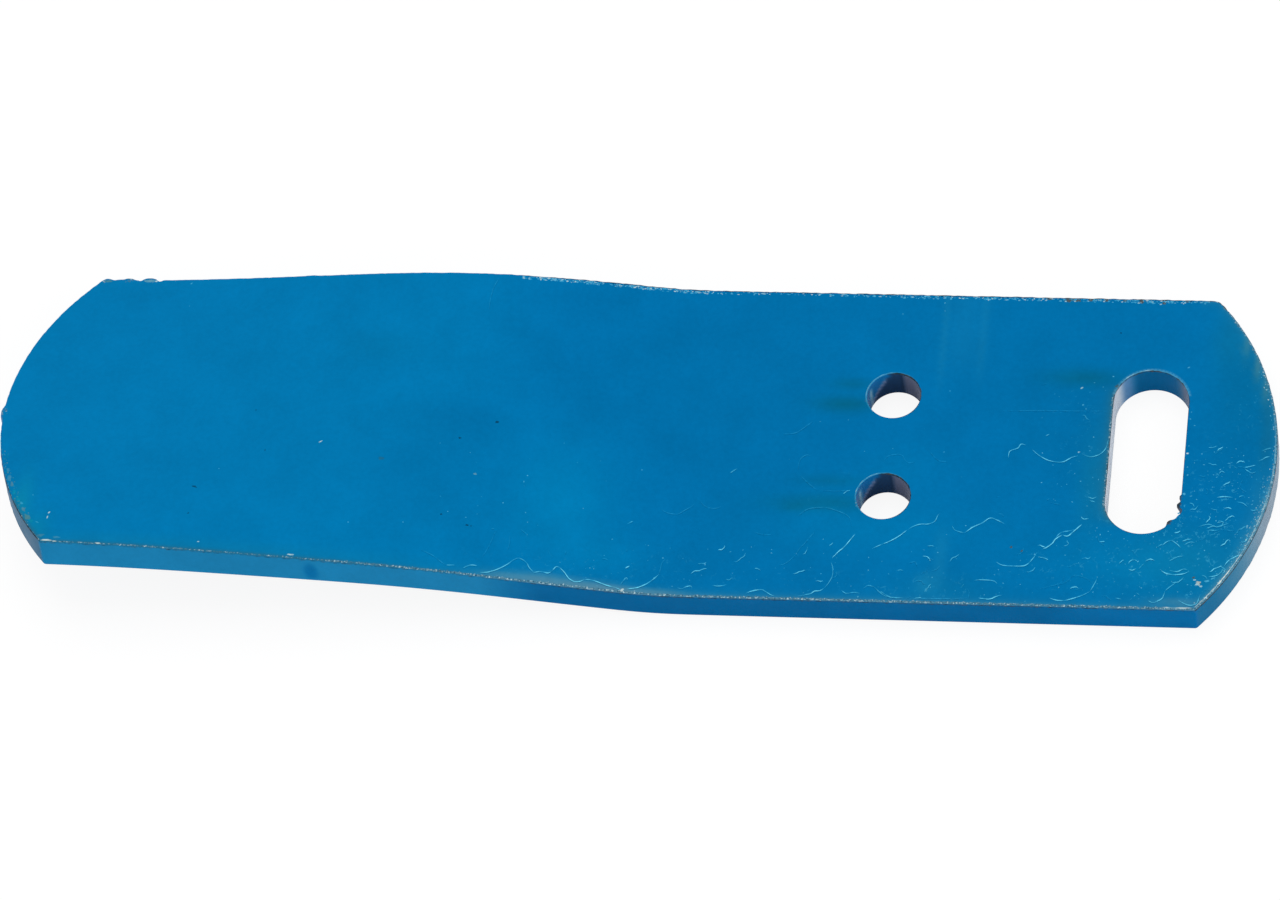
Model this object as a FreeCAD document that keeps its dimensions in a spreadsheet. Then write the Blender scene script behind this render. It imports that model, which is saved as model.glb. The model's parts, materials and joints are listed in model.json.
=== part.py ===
import FreeCAD, Part
import Sketcher
import math
import os

# Mouldboard strip: one flat bar of painted steel plate, blanked with rounded ends, punched with
# two bolt holes and a slot, then cranked upwards and twisted over its left half.
# Origin: midway between the two bolt holes, on the underside of the flat half.
# X runs along the strip towards the slotted end, Y across it, Z out of the face that shows.

NODE_NAME = "mouldboard_strip"

# Driving sizes, in millimetres and degrees
SIZES = (
    ("plate_width", 85.6, "across the bar"),
    ("plate_thickness", 8.0, "through the bar"),
    ("right_reach", 89.7, "bolt hole line to the tip of the slotted end"),
    ("left_reach", 207.7, "bolt hole line to the tip of the twisted end"),
    ("end_radius", 65.0, "arc of both ends, seen from above"),
    ("far_corner_radius", 2.5, "corners of the far edge, ground off by wear"),
    ("near_corner_radius", 0.8, "corners of the near edge, still crisp"),
    ("edge_break", 0.4, "rounding of the outline's rims"),
    ("bolt_hole_diameter", 12.5, "clears a 12 mm bolt"),
    ("bolt_hole_spacing", 28.0, "between the two hole centres, across the bar"),
    ("slot_offset", 59.8, "bolt hole line to the slot's middle"),
    ("slot_width", 17.4, "along the bar"),
    ("slot_length", 45.0, "across the bar, over its round ends"),
    ("seam_reach", 20.0, "bolt hole line to the seam between the flat half and the lofted half"),
    ("bend_start", 38.0, "bolt hole line to the first bend"),
    ("bend_length", 26.0, "first bend, along the bar"),
    ("bend_angle", 8.4, "first bend, upwards, which the return bend takes back"),
    ("return_start", 63.0, "bolt hole line to the return bend"),
    ("return_length", 80.0, "return bend, along the bar"),
    ("twist_start", 50.0, "bolt hole line to where the twist begins"),
    ("twist_length", 165.0, "twist, along the bar"),
    ("twist_angle", 10.5, "far edge down, near edge up"),
    ("burr_radius", 2.2, "rounded burr on the tip of the twisted end"),
    ("burr_reach", 0.9, "burr, out past the tip"),
    ("burr_offset", 1.5, "burr, from the middle line towards the near edge"),
    ("burr_drop", 0.5, "upper face down to the burr"),
    ("burr_depth", 5.0, "burr, down the end face"),
    ("lead_in", 42.0, "length lofted before the seam, then cut away"),
    ("end_allowance", 4.0, "length lofted past the twisted end, then cut away"),
)

# The bent and twisted half is lofted through this many equal steps
LOFT_STEPS = 40

# An edge counts as a rim where its two faces meet at more than this angle, in radians
RIM_ANGLE = 0.6

document = FreeCAD.newDocument(NODE_NAME)
sheet = document.addObject("Spreadsheet::Sheet", "sizes")
for row, (alias, value, meaning) in enumerate(SIZES, start=1):
    sheet.set(f"A{row}", alias)
    sheet.set(f"B{row}", str(value))
    sheet.setAlias(f"B{row}", alias)
    sheet.set(f"C{row}", meaning)
document.recompute()

body = document.addObject("PartDesign::Body", NODE_NAME)
body.Label = NODE_NAME


def add_sketch(name, plane_role):
    """A sketch on one of the body's own origin planes."""
    sketch = body.newObject("Sketcher::SketchObject", name)
    plane = next(item for item in body.Origin.OriginFeatures if item.Role == plane_role)
    sketch.AttachmentSupport = [(plane, "")]
    sketch.MapMode = "FlatFace"
    return sketch


def point(x, y):
    return FreeCAD.Vector(x, y, 0)


def constrain(sketch, *terms, to=None):
    """Adds one constraint, and binds its value to an expression when one is given."""
    index = sketch.addConstraint(Sketcher.Constraint(*terms))
    if to is not None:
        sketch.setExpression(f"Constraints[{index}]", to)


def close_loop(sketch, pieces):
    """Joins the end of each piece to the start of the next."""
    for piece, following in zip(pieces, pieces[1:] + pieces[:1]):
        constrain(sketch, "Coincident", piece, 2, following, 1)


# A constraint names the points of a piece by number, and the sketch's own axes by negative numbers
START, END, CENTRE = range(1, 4)
X_AXIS, Y_AXIS = range(-1, -3, -1)
ORIGIN = X_AXIS


def flat_blank():
    """The straight half: two long edges, the rounded right end, and a square left end."""
    half_width = sheet.plate_width / 2
    radius = sheet.end_radius
    centre = sheet.right_reach - radius
    chord = (radius**2 - half_width**2) ** 0.5
    left = -sheet.seam_reach
    sketch = add_sketch("FlatBlank", "XY_Plane")
    near = sketch.addGeometry(
        Part.LineSegment(point(left, -half_width), point(centre + chord, -half_width))
    )
    circle = Part.Circle(point(centre, 0), FreeCAD.Vector(0, 0, 1), radius)
    half_angle = circle.parameter(point(centre + chord, half_width))
    arc = sketch.addGeometry(Part.ArcOfCircle(circle, -half_angle, half_angle))
    far = sketch.addGeometry(Part.LineSegment(point(centre + chord, half_width), point(left, half_width)))
    back = sketch.addGeometry(Part.LineSegment(point(left, half_width), point(left, -half_width)))
    close_loop(sketch, [near, arc, far, back])
    constrain(sketch, "Horizontal", near)
    constrain(sketch, "Horizontal", far)
    constrain(sketch, "Symmetric", back, START, back, END, X_AXIS)
    constrain(sketch, "PointOnObject", arc, CENTRE, X_AXIS)
    constrain(sketch, "DistanceY", back, END, back, START, sheet.plate_width, to="sizes.plate_width")
    constrain(sketch, "DistanceX", near, START, ORIGIN, START, -left, to="sizes.seam_reach")
    constrain(sketch, "Radius", arc, radius, to="sizes.end_radius")
    constrain(
        sketch, "DistanceX", ORIGIN, START, arc, CENTRE, centre, to="sizes.right_reach - sizes.end_radius"
    )
    pad = body.newObject("PartDesign::Pad", "FlatHalf")
    pad.Profile = sketch
    pad.setExpression("Length", "sizes.plate_thickness")
    document.recompute()
    return pad


def eased(distance, start, length):
    """Expressions for the share of a bend or twist that is done at a distance, and for its sum so far.

    The share runs from 0 to 1 with no kink and no jump in curvature at either end.
    """
    progress = f"(({distance} - {start}) / {length})"
    inside = f"max(0; min(1; {progress}))"
    share = f"({inside}^3 * (10 - 15 * {inside} + 6 * {inside}^2))"
    total = f"({length} * ({inside}^4 * (2.5 - 3 * {inside} + {inside}^2) + max(0; {progress} - 1)))"
    return share, total


def centre_line(distance):
    """Expressions for the upper face's height, slope and roll at a distance left of the bolt holes."""
    bent, climbed = eased(distance, "sizes.bend_start", "sizes.bend_length")
    returned, given_back = eased(distance, "sizes.return_start", "sizes.return_length")
    twisted, _ = eased(distance, "sizes.twist_start", "sizes.twist_length")
    height = f"(sizes.plate_thickness + tan(sizes.bend_angle) * ({climbed} - {given_back}))"
    slope = f"atan(tan(sizes.bend_angle) * ({bent} - {returned}))"
    roll = f"(sizes.twist_angle * {twisted} * 1 deg)"
    return height, slope, roll


def loft_section(step):
    """The bar's rectangular section, hung from the centre line and square to it."""
    share = step / LOFT_STEPS
    first = "(sizes.seam_reach - sizes.lead_in)"
    distance = f"({first} + {share} * (sizes.left_reach + sizes.end_allowance - {first}))"
    height, slope, roll = centre_line(distance)
    sketch = add_sketch(f"Section{step:02d}", "YZ_Plane")
    half_width = sheet.plate_width / 2
    corners = [
        point(-half_width, -sheet.plate_thickness),
        point(half_width, -sheet.plate_thickness),
        point(half_width, 0),
        point(-half_width, 0),
    ]
    sides = [
        sketch.addGeometry(Part.LineSegment(start, end))
        for start, end in zip(corners, corners[1:] + corners[:1])
    ]
    lower, far, upper, near = sides
    close_loop(sketch, sides)
    constrain(sketch, "Horizontal", lower)
    constrain(sketch, "Horizontal", upper)
    constrain(sketch, "Vertical", far)
    constrain(sketch, "Vertical", near)
    constrain(sketch, "Symmetric", upper, START, upper, END, ORIGIN, START)
    constrain(sketch, "DistanceX", upper, END, upper, START, sheet.plate_width, to="sizes.plate_width")
    constrain(
        sketch, "DistanceY", far, START, far, END, sheet.plate_thickness, to="sizes.plate_thickness"
    )
    sketch.setExpression(
        "AttachmentOffset",
        f"placement(vector(0; {height}; -{distance});"
        f" rotation(vector(1; 0; 0); {slope}) * rotation(vector(0; 0; 1); -{roll}))",
    )
    return sketch


def twisted_half():
    sections = [loft_section(step) for step in range(LOFT_STEPS + 1)]
    loft = body.newObject("PartDesign::AdditiveLoft", "TwistedHalf")
    loft.Profile = sections[0]
    loft.Sections = sections[1:]
    loft.Ruled = False
    document.recompute()
    return loft


def cut(name, sketch):
    """Pockets a sketch through the whole bar and makes sure that it took metal away."""
    before = body.Shape.Volume
    pocket = body.newObject("PartDesign::Pocket", name)
    pocket.Profile = sketch
    pocket.Type = "ThroughAll"
    pocket.Midplane = True
    document.recompute()
    if not body.Shape.Volume < before:
        raise RuntimeError(f"{name} cut nothing")
    return pocket


def seam():
    """Cuts the lead-in away, since a loft's surface waves a little at its first sections."""
    side = sheet.plate_width / 2 + sheet.end_allowance
    outside = sheet.lead_in
    sketch = add_sketch("Seam", "XY_Plane")
    corners = [
        point(-sheet.seam_reach, -side),
        point(outside, -side),
        point(outside, side),
        point(-sheet.seam_reach, side),
    ]
    sides = [
        sketch.addGeometry(Part.LineSegment(start, end))
        for start, end in zip(corners, corners[1:] + corners[:1])
    ]
    near, right, far, left = sides
    close_loop(sketch, sides)
    constrain(sketch, "Horizontal", near)
    constrain(sketch, "Horizontal", far)
    constrain(sketch, "Vertical", right)
    constrain(sketch, "Symmetric", left, START, left, END, X_AXIS)
    width = "sizes.plate_width + 2 * sizes.end_allowance"
    constrain(sketch, "DistanceY", left, END, left, START, 2 * side, to=width)
    constrain(sketch, "DistanceX", left, END, ORIGIN, START, sheet.seam_reach, to="sizes.seam_reach")
    constrain(sketch, "DistanceX", ORIGIN, START, right, START, outside, to="sizes.lead_in")
    return cut("SeamTrim", sketch)


def lay_on_tip(sketch, drop="0"):
    """Lays a sketch on the twisted end's upper face, with its origin at the tip, or below that face."""
    height, slope, roll = centre_line("sizes.left_reach")
    sketch.setExpression(
        "AttachmentOffset",
        f"placement(vector(-sizes.left_reach; 0; {height} - {drop});"
        f" rotation(vector(0; 1; 0); {slope}) * rotation(vector(1; 0; 0); -{roll}))",
    )


def left_end():
    """Trims the lofted end to its arc, square to the twisted face."""
    radius = sheet.end_radius
    side = sheet.plate_width / 2 + sheet.edge_break
    chord = (radius**2 - side**2) ** 0.5
    outside = -2 * sheet.end_allowance
    sketch = add_sketch("LeftEnd", "XY_Plane")
    circle = Part.Circle(point(radius, 0), FreeCAD.Vector(0, 0, 1), radius)
    first = circle.parameter(point(radius - chord, side))
    last = circle.parameter(point(radius - chord, -side))
    arc = sketch.addGeometry(Part.ArcOfCircle(circle, first, last))
    near = sketch.addGeometry(Part.LineSegment(point(radius - chord, -side), point(outside, -side)))
    back = sketch.addGeometry(Part.LineSegment(point(outside, -side), point(outside, side)))
    far = sketch.addGeometry(Part.LineSegment(point(outside, side), point(radius - chord, side)))
    close_loop(sketch, [arc, near, back, far])
    constrain(sketch, "Horizontal", near)
    constrain(sketch, "Horizontal", far)
    constrain(sketch, "Symmetric", back, START, back, END, X_AXIS)
    constrain(sketch, "PointOnObject", arc, CENTRE, X_AXIS)
    constrain(sketch, "Radius", arc, radius, to="sizes.end_radius")
    constrain(sketch, "DistanceX", ORIGIN, START, arc, CENTRE, radius, to="sizes.end_radius")
    constrain(
        sketch, "DistanceY", back, START, back, END, 2 * side, to="sizes.plate_width + 2 * sizes.edge_break"
    )
    constrain(
        sketch, "DistanceX", back, START, ORIGIN, START, -outside, to="2 * sizes.end_allowance"
    )
    lay_on_tip(sketch)
    return cut("LeftEndTrim", sketch)


def rim_edges(shape):
    """Names of the edges where two faces meet at an angle, and those edges themselves."""
    found = []
    for number, edge in enumerate(shape.Edges, start=1):
        middle = edge.valueAt((edge.FirstParameter + edge.LastParameter) / 2)
        normals = [
            face.normalAt(*face.Surface.parameter(middle))
            for face in shape.ancestorsOfType(edge, Part.Face)
        ]
        if len(normals) == 2 and normals[0].getAngle(normals[1]) > RIM_ANGLE:
            found.append((f"Edge{number}", edge))
    return found


def upright(edge):
    """True for the short edges that stand at the outline's corners."""
    return edge.Length < 1.5 * sheet.plate_thickness


def round_edges(name, base, names, size):
    fillet = body.newObject("PartDesign::Fillet", name)
    fillet.Base = (base, names)
    fillet.setExpression("Radius", f"sizes.{size}")
    document.recompute()
    return fillet


def round_corners_and_rims(base):
    """The far corners are worn round, the near ones are crisp, and the rims are broken."""
    corners = [(name, edge) for name, edge in rim_edges(base.Shape) if upright(edge)]
    far = [name for name, edge in corners if edge.CenterOfMass.y > 0]
    base = round_edges("FarCorners", base, far, "far_corner_radius")
    corners = [(name, edge) for name, edge in rim_edges(base.Shape) if upright(edge)]
    near = [name for name, edge in corners if edge.CenterOfMass.y < 0]
    base = round_edges("NearCorners", base, near, "near_corner_radius")
    rims = [name for name, edge in rim_edges(base.Shape)]
    return round_edges("BrokenRims", base, rims, "edge_break")


def tip_burr():
    """A rounded burr that stands proud of the twisted end's arc, a little below the upper face."""
    sketch = add_sketch("TipBurr", "XY_Plane")
    centre = point(sheet.burr_radius - sheet.burr_reach, -sheet.burr_offset)
    circle = sketch.addGeometry(Part.Circle(centre, FreeCAD.Vector(0, 0, 1), sheet.burr_radius))
    constrain(sketch, "Radius", circle, sheet.burr_radius, to="sizes.burr_radius")
    inwards = "sizes.burr_radius - sizes.burr_reach"
    constrain(sketch, "DistanceX", ORIGIN, START, circle, CENTRE, centre.x, to=inwards)
    constrain(sketch, "DistanceY", circle, CENTRE, ORIGIN, START, -centre.y, to="sizes.burr_offset")
    lay_on_tip(sketch, drop="sizes.burr_drop")
    pad = body.newObject("PartDesign::Pad", "TipBurrPad")
    pad.Profile = sketch
    pad.Reversed = True
    pad.setExpression("Length", "sizes.burr_depth")
    document.recompute()
    return pad


def bolt_holes():
    """Two round holes across the bar, one each side of the centre line."""
    sketch = add_sketch("BoltHoles", "XY_Plane")
    offset = sheet.bolt_hole_spacing / 2
    radius = sheet.bolt_hole_diameter / 2
    circles = [
        sketch.addGeometry(Part.Circle(point(0, y), FreeCAD.Vector(0, 0, 1), radius))
        for y in (-offset, offset)
    ]
    near, far = circles
    constrain(sketch, "Symmetric", near, CENTRE, far, CENTRE, ORIGIN, START)
    constrain(sketch, "PointOnObject", far, CENTRE, Y_AXIS)
    constrain(sketch, "Equal", near, far)
    constrain(sketch, "Diameter", far, 2 * radius, to="sizes.bolt_hole_diameter")
    constrain(sketch, "DistanceY", near, CENTRE, far, CENTRE, 2 * offset, to="sizes.bolt_hole_spacing")
    return cut("BoltHolePocket", sketch)


def cross_slot():
    """A slot with round ends, lying across the bar."""
    sketch = add_sketch("CrossSlot", "XY_Plane")
    middle = sheet.slot_offset
    radius = sheet.slot_width / 2
    arm = sheet.slot_length / 2 - radius
    up = FreeCAD.Vector(0, 0, 1)
    far_circle = Part.Circle(point(middle, arm), up, radius)
    near_circle = Part.Circle(point(middle, -arm), up, radius)
    upper = sketch.addGeometry(Part.ArcOfCircle(far_circle, 0, math.pi))
    left = sketch.addGeometry(Part.LineSegment(point(middle - radius, arm), point(middle - radius, -arm)))
    lower = sketch.addGeometry(Part.ArcOfCircle(near_circle, math.pi, 2 * math.pi))
    right = sketch.addGeometry(Part.LineSegment(point(middle + radius, -arm), point(middle + radius, arm)))
    pieces = [upper, left, lower, right]
    for piece, following in zip(pieces, pieces[1:] + pieces[:1]):
        constrain(sketch, "Tangent", piece, END, following, START)
    constrain(sketch, "Equal", upper, lower)
    constrain(sketch, "Symmetric", upper, CENTRE, lower, CENTRE, X_AXIS)
    constrain(sketch, "Radius", upper, radius, to="sizes.slot_width / 2")
    constrain(sketch, "DistanceX", ORIGIN, START, upper, CENTRE, middle, to="sizes.slot_offset")
    between = "sizes.slot_length - sizes.slot_width"
    constrain(sketch, "DistanceY", lower, CENTRE, upper, CENTRE, 2 * arm, to=between)
    return cut("CrossSlotPocket", sketch)


def check_document():
    """Stops if any object failed to build, or the body isn't one sound solid."""
    for item in document.Objects:
        if "Invalid" in item.State or "Error" in item.State:
            raise RuntimeError(f"{item.Name} did not build: {item.State}")
    if body.Shape.isNull() or not body.Shape.isValid() or len(body.Shape.Solids) != 1:
        raise RuntimeError(f"{body.Label} is not one valid solid")


twisted_half()
seam()
flat_blank()
round_corners_and_rims(left_end())
tip_burr()
bolt_holes()
cross_slot()
check_document()

os.makedirs("parts", exist_ok=True)
body.Shape.exportStep(f"parts/{body.Label}.step")
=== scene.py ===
import json
import math
import random

import bpy
import numpy as np
from mathutils import Matrix, Vector, noise
from mathutils.geometry import delaunay_2d_cdt

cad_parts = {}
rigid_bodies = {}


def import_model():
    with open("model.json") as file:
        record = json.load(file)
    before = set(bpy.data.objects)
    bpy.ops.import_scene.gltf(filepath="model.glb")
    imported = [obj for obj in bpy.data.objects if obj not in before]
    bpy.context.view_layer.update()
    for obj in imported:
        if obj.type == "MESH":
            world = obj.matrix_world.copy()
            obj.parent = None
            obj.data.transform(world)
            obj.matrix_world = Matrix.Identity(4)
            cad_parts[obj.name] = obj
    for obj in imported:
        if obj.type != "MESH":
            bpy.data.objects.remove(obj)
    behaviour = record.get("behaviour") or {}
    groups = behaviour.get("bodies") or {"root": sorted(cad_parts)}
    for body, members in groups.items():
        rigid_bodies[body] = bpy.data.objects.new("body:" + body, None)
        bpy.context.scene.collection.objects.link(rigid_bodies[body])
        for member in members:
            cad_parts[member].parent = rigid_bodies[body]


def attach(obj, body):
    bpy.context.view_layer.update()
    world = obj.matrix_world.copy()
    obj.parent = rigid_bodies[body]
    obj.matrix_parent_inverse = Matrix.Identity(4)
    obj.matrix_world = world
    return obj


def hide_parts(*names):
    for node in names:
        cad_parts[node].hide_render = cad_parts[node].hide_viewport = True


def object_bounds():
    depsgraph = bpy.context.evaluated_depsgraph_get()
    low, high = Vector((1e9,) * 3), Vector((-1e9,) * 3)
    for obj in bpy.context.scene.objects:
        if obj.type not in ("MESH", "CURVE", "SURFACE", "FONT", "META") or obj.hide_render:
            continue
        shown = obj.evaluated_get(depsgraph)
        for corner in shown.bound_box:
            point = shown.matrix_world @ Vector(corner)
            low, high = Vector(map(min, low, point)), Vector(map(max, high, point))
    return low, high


# The visual model of the mouldboard strip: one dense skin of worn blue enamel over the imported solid.
# A point of the strip has three flat coordinates in millimetres, as if the bar were unbent:
# u along it from the bolt holes towards the slot, v across it, and w up from the upper face.

for leftover in list(bpy.data.objects):
    bpy.data.objects.remove(leftover)
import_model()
cad_box = [list(corner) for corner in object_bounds()]

NODE = "mouldboard_strip"
BODY = "root"
MM = 0.001

# Sizes of the strip, the same as the solid's
HALF_WIDTH = 42.8
THICKNESS = 8.0
RIGHT_REACH = 89.7
LEFT_REACH = 207.7
END_RADIUS = 65.0
FAR_CORNER_RADIUS = 2.5
NEAR_CORNER_RADIUS = 0.8
EDGE_BREAK = 0.4
HOLE_RADIUS = 6.25
HOLE_OFFSET = 14.0
SLOT_OFFSET = 59.8
SLOT_RADIUS = 8.7
SLOT_ARM = 13.8
BEND_START = 38.0
BEND_LENGTH = 26.0
BEND_ANGLE = math.radians(8.4)
RETURN_START = 63.0
RETURN_LENGTH = 80.0
TWIST_START = 50.0
TWIST_LENGTH = 165.0
TWIST_ANGLE = math.radians(10.5)

RIGHT_CENTRE = RIGHT_REACH - END_RADIUS
LEFT_CENTRE = END_RADIUS - LEFT_REACH
ARC_REACH = math.sqrt(END_RADIUS**2 - HALF_WIDTH**2)

# The photograph's frame, and the camera that was fitted to the strip in it
FRAME_WIDTH = 1280
FRAME_HEIGHT = 900
FOCAL_PIXELS = 7904.0
SENSOR_WIDTH = 36.0
CAMERA_PLACE = Vector((226.27, -1007.43, 1512.39))
CAMERA_RIGHT = Vector((0.987622, 0.105769, -0.115826))
CAMERA_DOWN = Vector((0.023352, -0.829360, -0.558226))
CAMERA_AHEAD = Vector((-0.155105, 0.548611, -0.821564))


def linear(colour):
    """A colour given as it looks on screen, 0 to 255, in the linear light that materials use."""
    channels = np.asarray(colour, float) / 255
    return np.where(channels <= 0.04045, channels / 12.92, ((channels + 0.055) / 1.055) ** 2.4)


def smooth(low, high, value):
    """0 below low, 1 above high, and an even ramp between them."""
    share = np.clip((value - low) / (high - low), 0, 1)
    return share * share * (3 - 2 * share)


def waves(places, scale, seed):
    """Soft noise between -1 and 1 for each place, with bumps about as wide as scale."""
    offset = Vector((seed * 17.3, seed * 5.9, seed * 31.7))
    return np.array([noise.noise(Vector(place) / scale + offset) for place in places])


# The bent and twisted form


def eased(distance, start, length):
    """The share of a bend or twist done at a distance left of the bolt holes, and its sum so far."""
    progress = (distance - start) / length
    inside = np.clip(progress, 0, 1)
    share = inside**3 * (10 - 15 * inside + 6 * inside**2)
    total = length * (inside**4 * (2.5 - 3 * inside + inside**2) + np.maximum(0, progress - 1))
    return share, total


def bend(flat):
    """Places in millimetres of the points with these flat coordinates."""
    u, v, w = np.asarray(flat, float).T
    bent, climbed = eased(-u, BEND_START, BEND_LENGTH)
    returned, given_back = eased(-u, RETURN_START, RETURN_LENGTH)
    twisted, _ = eased(-u, TWIST_START, TWIST_LENGTH)
    height = THICKNESS + math.tan(BEND_ANGLE) * (climbed - given_back)
    slope = np.arctan(math.tan(BEND_ANGLE) * (bent - returned))
    roll = TWIST_ANGLE * twisted
    up_x, up_z = np.sin(slope), np.cos(slope)
    x = u + (w * np.cos(roll) - v * np.sin(roll)) * up_x
    y = v * np.cos(roll) + w * np.sin(roll)
    z = height + (w * np.cos(roll) - v * np.sin(roll)) * up_z
    return np.stack([x, y, z], axis=1)


def seen(u, v):
    """The photograph's pixels that show these points of the upper face."""
    axes = np.array([CAMERA_RIGHT, CAMERA_DOWN, CAMERA_AHEAD])
    across, down, ahead = axes @ (bend(np.stack([u, v, 0 * u], axis=1)) - np.array(CAMERA_PLACE)).T
    x = FRAME_WIDTH / 2 + FOCAL_PIXELS * across / ahead
    y = FRAME_HEIGHT / 2 + FOCAL_PIXELS * down / ahead
    return np.stack([x, y], axis=1)


# A first guess for a pixel's place on the upper face: the holes' pixel, and pixels to a millimetre
HOLES_PIXEL = (885.0, 445.0)
PIXELS_ALONG = 4.1
PIXELS_ACROSS = 3.5


def on_face(points):
    """Flat u and v of the upper face's points that the photograph shows at these pixels."""
    wanted = np.asarray(points, float)
    u = (wanted[:, 0] - HOLES_PIXEL[0]) / PIXELS_ALONG
    v = (HOLES_PIXEL[1] - wanted[:, 1]) / PIXELS_ACROSS
    for _ in range(12):
        miss = wanted - seen(u, v)
        along = seen(u + 0.5, v) - seen(u - 0.5, v)
        across = seen(u, v + 0.5) - seen(u, v - 0.5)
        area = along[:, 0] * across[:, 1] - along[:, 1] * across[:, 0]
        u = u + (miss[:, 0] * across[:, 1] - miss[:, 1] * across[:, 0]) / area
        v = v + (along[:, 0] * miss[:, 1] - along[:, 1] * miss[:, 0]) / area
    return np.stack([u, v], axis=1)


# The outline and the openings, drawn in the flat

LINE_STEPS = 600
ARC_STEPS = 200
CORNER_STEPS = 8
HOLE_STEPS = 96
SLOT_ARC_STEPS = 64
SLOT_LINE_STEPS = 60


def arc(centre, radius, start, end, count):
    """Points along an arc, without its last one."""
    angles = start + (end - start) * np.arange(count) / count
    return np.stack([centre[0] + radius * np.cos(angles), centre[1] + radius * np.sin(angles)], axis=1)


def line(start, end, count):
    """Points along a straight line, without its last one."""
    shares = np.arange(count)[:, None] / count
    return np.asarray(start) + (np.asarray(end) - np.asarray(start)) * shares


def outline(inset):
    """The strip's outline anticlockwise from the near left corner, drawn in by a distance."""
    half = HALF_WIDTH - inset
    radius = END_RADIUS - inset
    near_round = max(NEAR_CORNER_RADIUS - inset, 0)
    far_round = max(FAR_CORNER_RADIUS - inset, 0)
    near_reach = math.sqrt((radius - near_round) ** 2 - (half - near_round) ** 2)
    far_reach = math.sqrt((radius - far_round) ** 2 - (half - far_round) ** 2)
    near_angle = math.atan2(half - near_round, near_reach)
    far_angle = math.atan2(half - far_round, far_reach)
    quarter = math.pi / 2
    right, left = RIGHT_CENTRE, LEFT_CENTRE
    pieces = [
        line((left - near_reach, -half), (right + near_reach, -half), LINE_STEPS),
        arc((right + near_reach, near_round - half), near_round, -quarter, -near_angle, CORNER_STEPS),
        arc((right, 0), radius, -near_angle, far_angle, ARC_STEPS),
        arc((right + far_reach, half - far_round), far_round, far_angle, quarter, CORNER_STEPS),
        line((right + far_reach, half), (left - far_reach, half), LINE_STEPS),
        arc((left - far_reach, half - far_round), far_round, quarter, math.pi - far_angle, CORNER_STEPS),
        arc((left, 0), radius, math.pi - far_angle, math.pi + near_angle, ARC_STEPS),
        arc(
            (left - near_reach, near_round - half), near_round, math.pi + near_angle, 3 * quarter, CORNER_STEPS
        ),
    ]
    return np.concatenate(pieces)


def hole(side, grown):
    return arc((0, side * HOLE_OFFSET), HOLE_RADIUS + grown, 0, 2 * math.pi, HOLE_STEPS)


def slot(grown):
    radius = SLOT_RADIUS + grown
    left, right = SLOT_OFFSET - radius, SLOT_OFFSET + radius
    pieces = [
        arc((SLOT_OFFSET, -SLOT_ARM), radius, math.pi, 2 * math.pi, SLOT_ARC_STEPS),
        line((right, -SLOT_ARM), (right, SLOT_ARM), SLOT_LINE_STEPS),
        arc((SLOT_OFFSET, SLOT_ARM), radius, 0, math.pi, SLOT_ARC_STEPS),
        line((left, SLOT_ARM), (left, -SLOT_ARM), SLOT_LINE_STEPS),
    ]
    return np.concatenate(pieces)


OPENINGS = (
    lambda grown: hole(-1, grown),
    lambda grown: hole(1, grown),
    slot,
)


def edge_gap(u, v):
    """Distance of a point from the strip's outline, inwards."""
    right = END_RADIUS - np.hypot(u - RIGHT_CENTRE, v)
    left = END_RADIUS - np.hypot(u - LEFT_CENTRE, v)
    gap = HALF_WIDTH - np.abs(v)
    gap = np.where(u > RIGHT_CENTRE, np.minimum(gap, right), gap)
    return np.where(u < LEFT_CENTRE, np.minimum(gap, left), gap)


def slot_gap(u, v):
    """Distance of a point from the slot's wall, outwards."""
    return np.hypot(u - SLOT_OFFSET, v - np.clip(v, -SLOT_ARM, SLOT_ARM)) - SLOT_RADIUS


def hole_gap(u, v, side):
    return np.hypot(u, v - side * HOLE_OFFSET) - HOLE_RADIUS


def opening_gap(u, v):
    """Distance of a point from the nearest hole or slot."""
    return np.minimum(slot_gap(u, v), np.minimum(hole_gap(u, v, -1), hole_gap(u, v, 1)))


# The skin: two triangulated faces, and walls round the outline and the openings

FINE_GRID = 1.3
COARSE_GRID = 5.0
EDGE_RINGS = (0.65, 1.0, 1.5, 2.2)
OPENING_RINGS = (0.45, 0.8, 1.3, 2.0)
OPENING_BREAK = 0.15
RIM_STEPS = 4
RIM_ROWS = (0.2, 0.45, 0.8)
WALL_STEPS = 7


def wall_rows(rounding):
    """Inset and w of a wall's rows, from the upper face round both rims to the lower face."""
    turns = np.linspace(0, math.pi / 2, RIM_STEPS + 1)
    upper = [(rounding * (1 - math.sin(turn)), rounding * (math.cos(turn) - 1)) for turn in turns]
    upper += [(0.0, -rounding - below) for below in RIM_ROWS]
    last = upper[-1][1]
    middle = [(0.0, w) for w in np.linspace(last, -THICKNESS - last, WALL_STEPS + 1)[1:-1]]
    lower = [(inset, -THICKNESS - w) for inset, w in reversed(upper)]
    return upper + middle + lower


def grid(step, edge, opening):
    """Places of a triangular grid that keep clear of the outline and the openings."""
    rows = np.arange(-HALF_WIDTH, HALF_WIDTH, step * math.sqrt(3) / 2)
    columns = np.arange(-LEFT_REACH, RIGHT_REACH, step)
    u = columns[None, :] + (np.arange(len(rows)) % 2)[:, None] * step / 2
    v = rows[:, None] + 0 * u
    places = np.stack([u.ravel(), v.ravel()], axis=1)
    clear = (edge_gap(*places.T) > edge) & (opening_gap(*places.T) > opening)
    return places[clear]


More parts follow.
